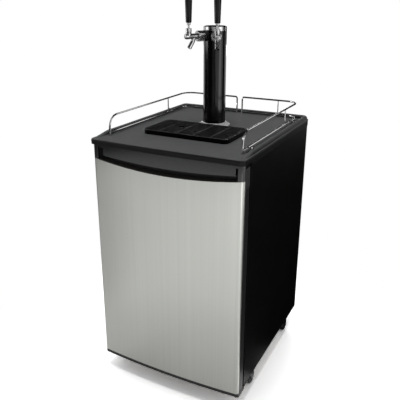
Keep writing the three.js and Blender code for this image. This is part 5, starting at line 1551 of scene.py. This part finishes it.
@dataclass(frozen=True)
class Studio:
    """Floor, backdrop, lamps and the camera at the photograph's viewing angle.

    Attributes:
        camera_place: where the camera stands, in metres.
        yaw: how far it is turned to the left of straight on, in degrees.
        pitch: how far it looks down, in degrees.
        roll: how far it is tilted, in degrees.
        focal_pixels: its focal length in pixels of the photograph's width.
        frame_pixels: the photograph's width in pixels.
        shift: how far its frame is shifted, in frame widths.
        sensor: its sensor's width in millimetres.
        floor_reach: how far the floor runs, in metres.
        ambient: the strength of the even light from all sides.
        paper: the floor's colour for matt surfaces.
        paper_mirrored: the floor's colour as mirrors see it.
        paper_seen: the floor's colour as the camera sees it.
        fade: how far from the middle the floor begins and ends its turn to plain white, in metres.
    """

    camera_place: Triple = (0.77561, -1.56127, 1.26778)
    yaw: float = 27.37
    pitch: float = 19.07
    roll: float = 0.12
    focal_pixels: float = 527.79
    frame_pixels: float = 400.0
    shift: Pair = (0.0019, -0.051)
    sensor: float = 36.0
    floor_reach: float = 40.0
    ambient: float = 0.45
    paper: float = 0.5
    paper_mirrored: float = 2.2
    paper_seen: float = 2.1
    fade: Pair = (0.32, 0.9)

    def build(self) -> None:
        """Sets the colour transform and makes the floor, the light and the camera."""
        bpy.context.scene.view_settings.view_transform = "Standard"
        self.build_floor()
        self.build_world()
        self.build_camera()
        for lamp in LAMPS:
            lamp.build()
        for card in CARDS:
            card.build()

    def build_floor(self) -> None:
        """Lays the pale paper floor, which keeps the object's shadow."""
        made = bmesh.new()
        bmesh.ops.create_grid(made, x_segments=4, y_segments=4, size=self.floor_reach)
        floor = meshed("floor", made, self.floor_paper())

    def floor_paper(self) -> bpy.types.Material:
        """The floor's paper: it keeps the shadow near the object and is plain white further off.

        Returns:
            The material.
        """
        made = bpy.data.materials.new("floor_paper")
        made.use_nodes = True
        graph = Graph(made.node_tree)
        made.node_tree.nodes.remove(made.node_tree.nodes["Principled BSDF"])
        seen = self.seen_rays(graph)
        camera_ray = graph.node("ShaderNodeLightPath").outputs["Is Camera Ray"]
        unseen = graph.blend(seen, (self.paper,) * 3, (self.paper_mirrored,) * 3)
        colour = graph.blend(camera_ray, unseen, (self.paper_seen,) * 3)
        matt = graph.node("ShaderNodeBsdfDiffuse", {"Color": colour}).outputs[0]
        white = graph.node("ShaderNodeEmission", {"Strength": 1.0}).outputs[0]
        place = graph.node("ShaderNodeTexCoord").outputs["Object"]
        away = graph.node("ShaderNodeVectorMath", {0: place}, operation="LENGTH").outputs["Value"]
        far = graph.math("MULTIPLY", graph.spread(away, self.fade, FULL), seen)
        mixed = graph.node("ShaderNodeMixShader", {0: far, 1: matt, 2: white}).outputs[0]
        graph.feed(made.node_tree.nodes["Material Output"].inputs["Surface"], mixed)
        return made

    def seen_rays(self, graph: Graph) -> bpy.types.NodeSocket:
        """Marks the rays from the camera and those that mirrors and glass send on.

        Args:
            graph: the graph that needs them.

        Returns:
            1 for such a ray and 0 for the others.
        """
        path = graph.node("ShaderNodeLightPath").outputs
        mirrored = graph.math("MAXIMUM", path["Is Glossy Ray"], path["Is Transmission Ray"])
        return graph.math("MAXIMUM", path["Is Camera Ray"], mirrored)

    def build_world(self) -> None:
        """Makes the white backdrop and the even light."""
        world = bpy.data.worlds.new("studio")
        world.use_nodes = True
        bpy.context.scene.world = world
        graph = Graph(world.node_tree)
        light = world.node_tree.nodes["Background"]
        graph.feed(light.inputs["Color"], (1.0, 1.0, 1.0, 1.0))
        strength = graph.spread(self.seen_rays(graph), FULL, (self.ambient, 1.0))
        graph.feed(light.inputs["Strength"], strength)

    def build_camera(self) -> None:
        """Makes the camera from the angles and the place that the photograph gives."""
        data = bpy.data.cameras.new("photograph")
        data.sensor_width = self.sensor
        data.lens = self.focal_pixels / self.frame_pixels * self.sensor
        data.shift_x, data.shift_y = self.shift
        camera = stand("photograph", data)
        yaw, pitch, roll = (math.radians(a) for a in (self.yaw, self.pitch, self.roll))
        turn = Matrix.Rotation(yaw, 4, "Z") @ Matrix.Rotation(math.pi / 2 - pitch, 4, "X")
        camera.matrix_world = Matrix.Translation(self.camera_place) @ turn @ Matrix.Rotation(roll, 4, "Z")
        bpy.context.scene.camera = camera


LAMPS = (
    Softbox("back_softbox", (-0.9, 3.0, 1.5), (0.0, 0.2, 0.5), (2.0, 1.6), 40.0),
    Softbox("left_softbox", (-2.3, -1.5, 1.7), (0.0, 0.0, 0.6), (1.6, 2.2), 30.0, fills=False),
    Softbox("right_softbox", (2.5, -0.4, 1.0), (0.0, 0.0, 0.7), (1.2, 2.0), 13.0, fills=False),
    Softbox("top_softbox", (0.0, -0.2, 3.0), (0.0, 0.0, 0.8), (1.2, 1.2), 36.0),
    Softbox("front_softbox", (0.75, -2.6, 0.4), (0.15, -0.3, 0.45), (1.0, 0.8), 14.0, fills=False),
)
CARDS = (
    MirroredCard("tube_card", (-46.0, 36.0), (0.74, 1.15), reach=0.6),
    MirroredCard("right_card", (113.0, 141.0), (0.0, 2.4)),
    MirroredCard("back_card", (153.0, 236.0), (0.95, 2.4), reach=2.1),
    MirroredCard("low_back_card", (141.0, 206.0), (0.0, 0.5), reach=2.3),
    MirroredCard("left_card", (-95.0, -46.0), (0.0, 0.9), reach=2.4),
    MirroredCard("front_left_card", (-62.0, -8.0), (1.1, 2.4), reach=2.2),
    MirroredCard("ceiling_card", (0.0, 360.0), (2.4, 2.4), reach=2.6, inner=0.05),
    MirroredCard("right_floor_cloth", (70.0, 206.0), (0.002, 0.002), reach=2.6, inner=0.28),
    MirroredCard("left_floor_cloth", (-120.0, -40.0), (0.004, 0.004), reach=2.4, inner=0.5, shade=208.0),
    MirroredCard("near_floor_cloth", (-60.0, 50.0), (0.005, 0.005), reach=0.8, inner=0.32, shade=240.0),
)


def main() -> None:
    """Builds the sub-assemblies in order, then the studio."""
    logging.basicConfig(level=logging.INFO, format="%(name)s: %(message)s")
    for part in (Cabinet(), Refrigeration(), Door(), Worktop(), DripTray(), TapTower(), Casters(), Studio()):
        part.build()
        LOG.info("built %s", type(part).__name__)


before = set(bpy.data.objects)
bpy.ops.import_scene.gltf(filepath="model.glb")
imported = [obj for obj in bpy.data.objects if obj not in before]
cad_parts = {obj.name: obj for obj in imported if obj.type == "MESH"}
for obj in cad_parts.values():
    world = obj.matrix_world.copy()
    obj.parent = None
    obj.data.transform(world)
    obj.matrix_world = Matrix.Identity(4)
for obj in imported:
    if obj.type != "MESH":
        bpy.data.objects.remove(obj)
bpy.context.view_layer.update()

if __name__ == "__main__":
    main()
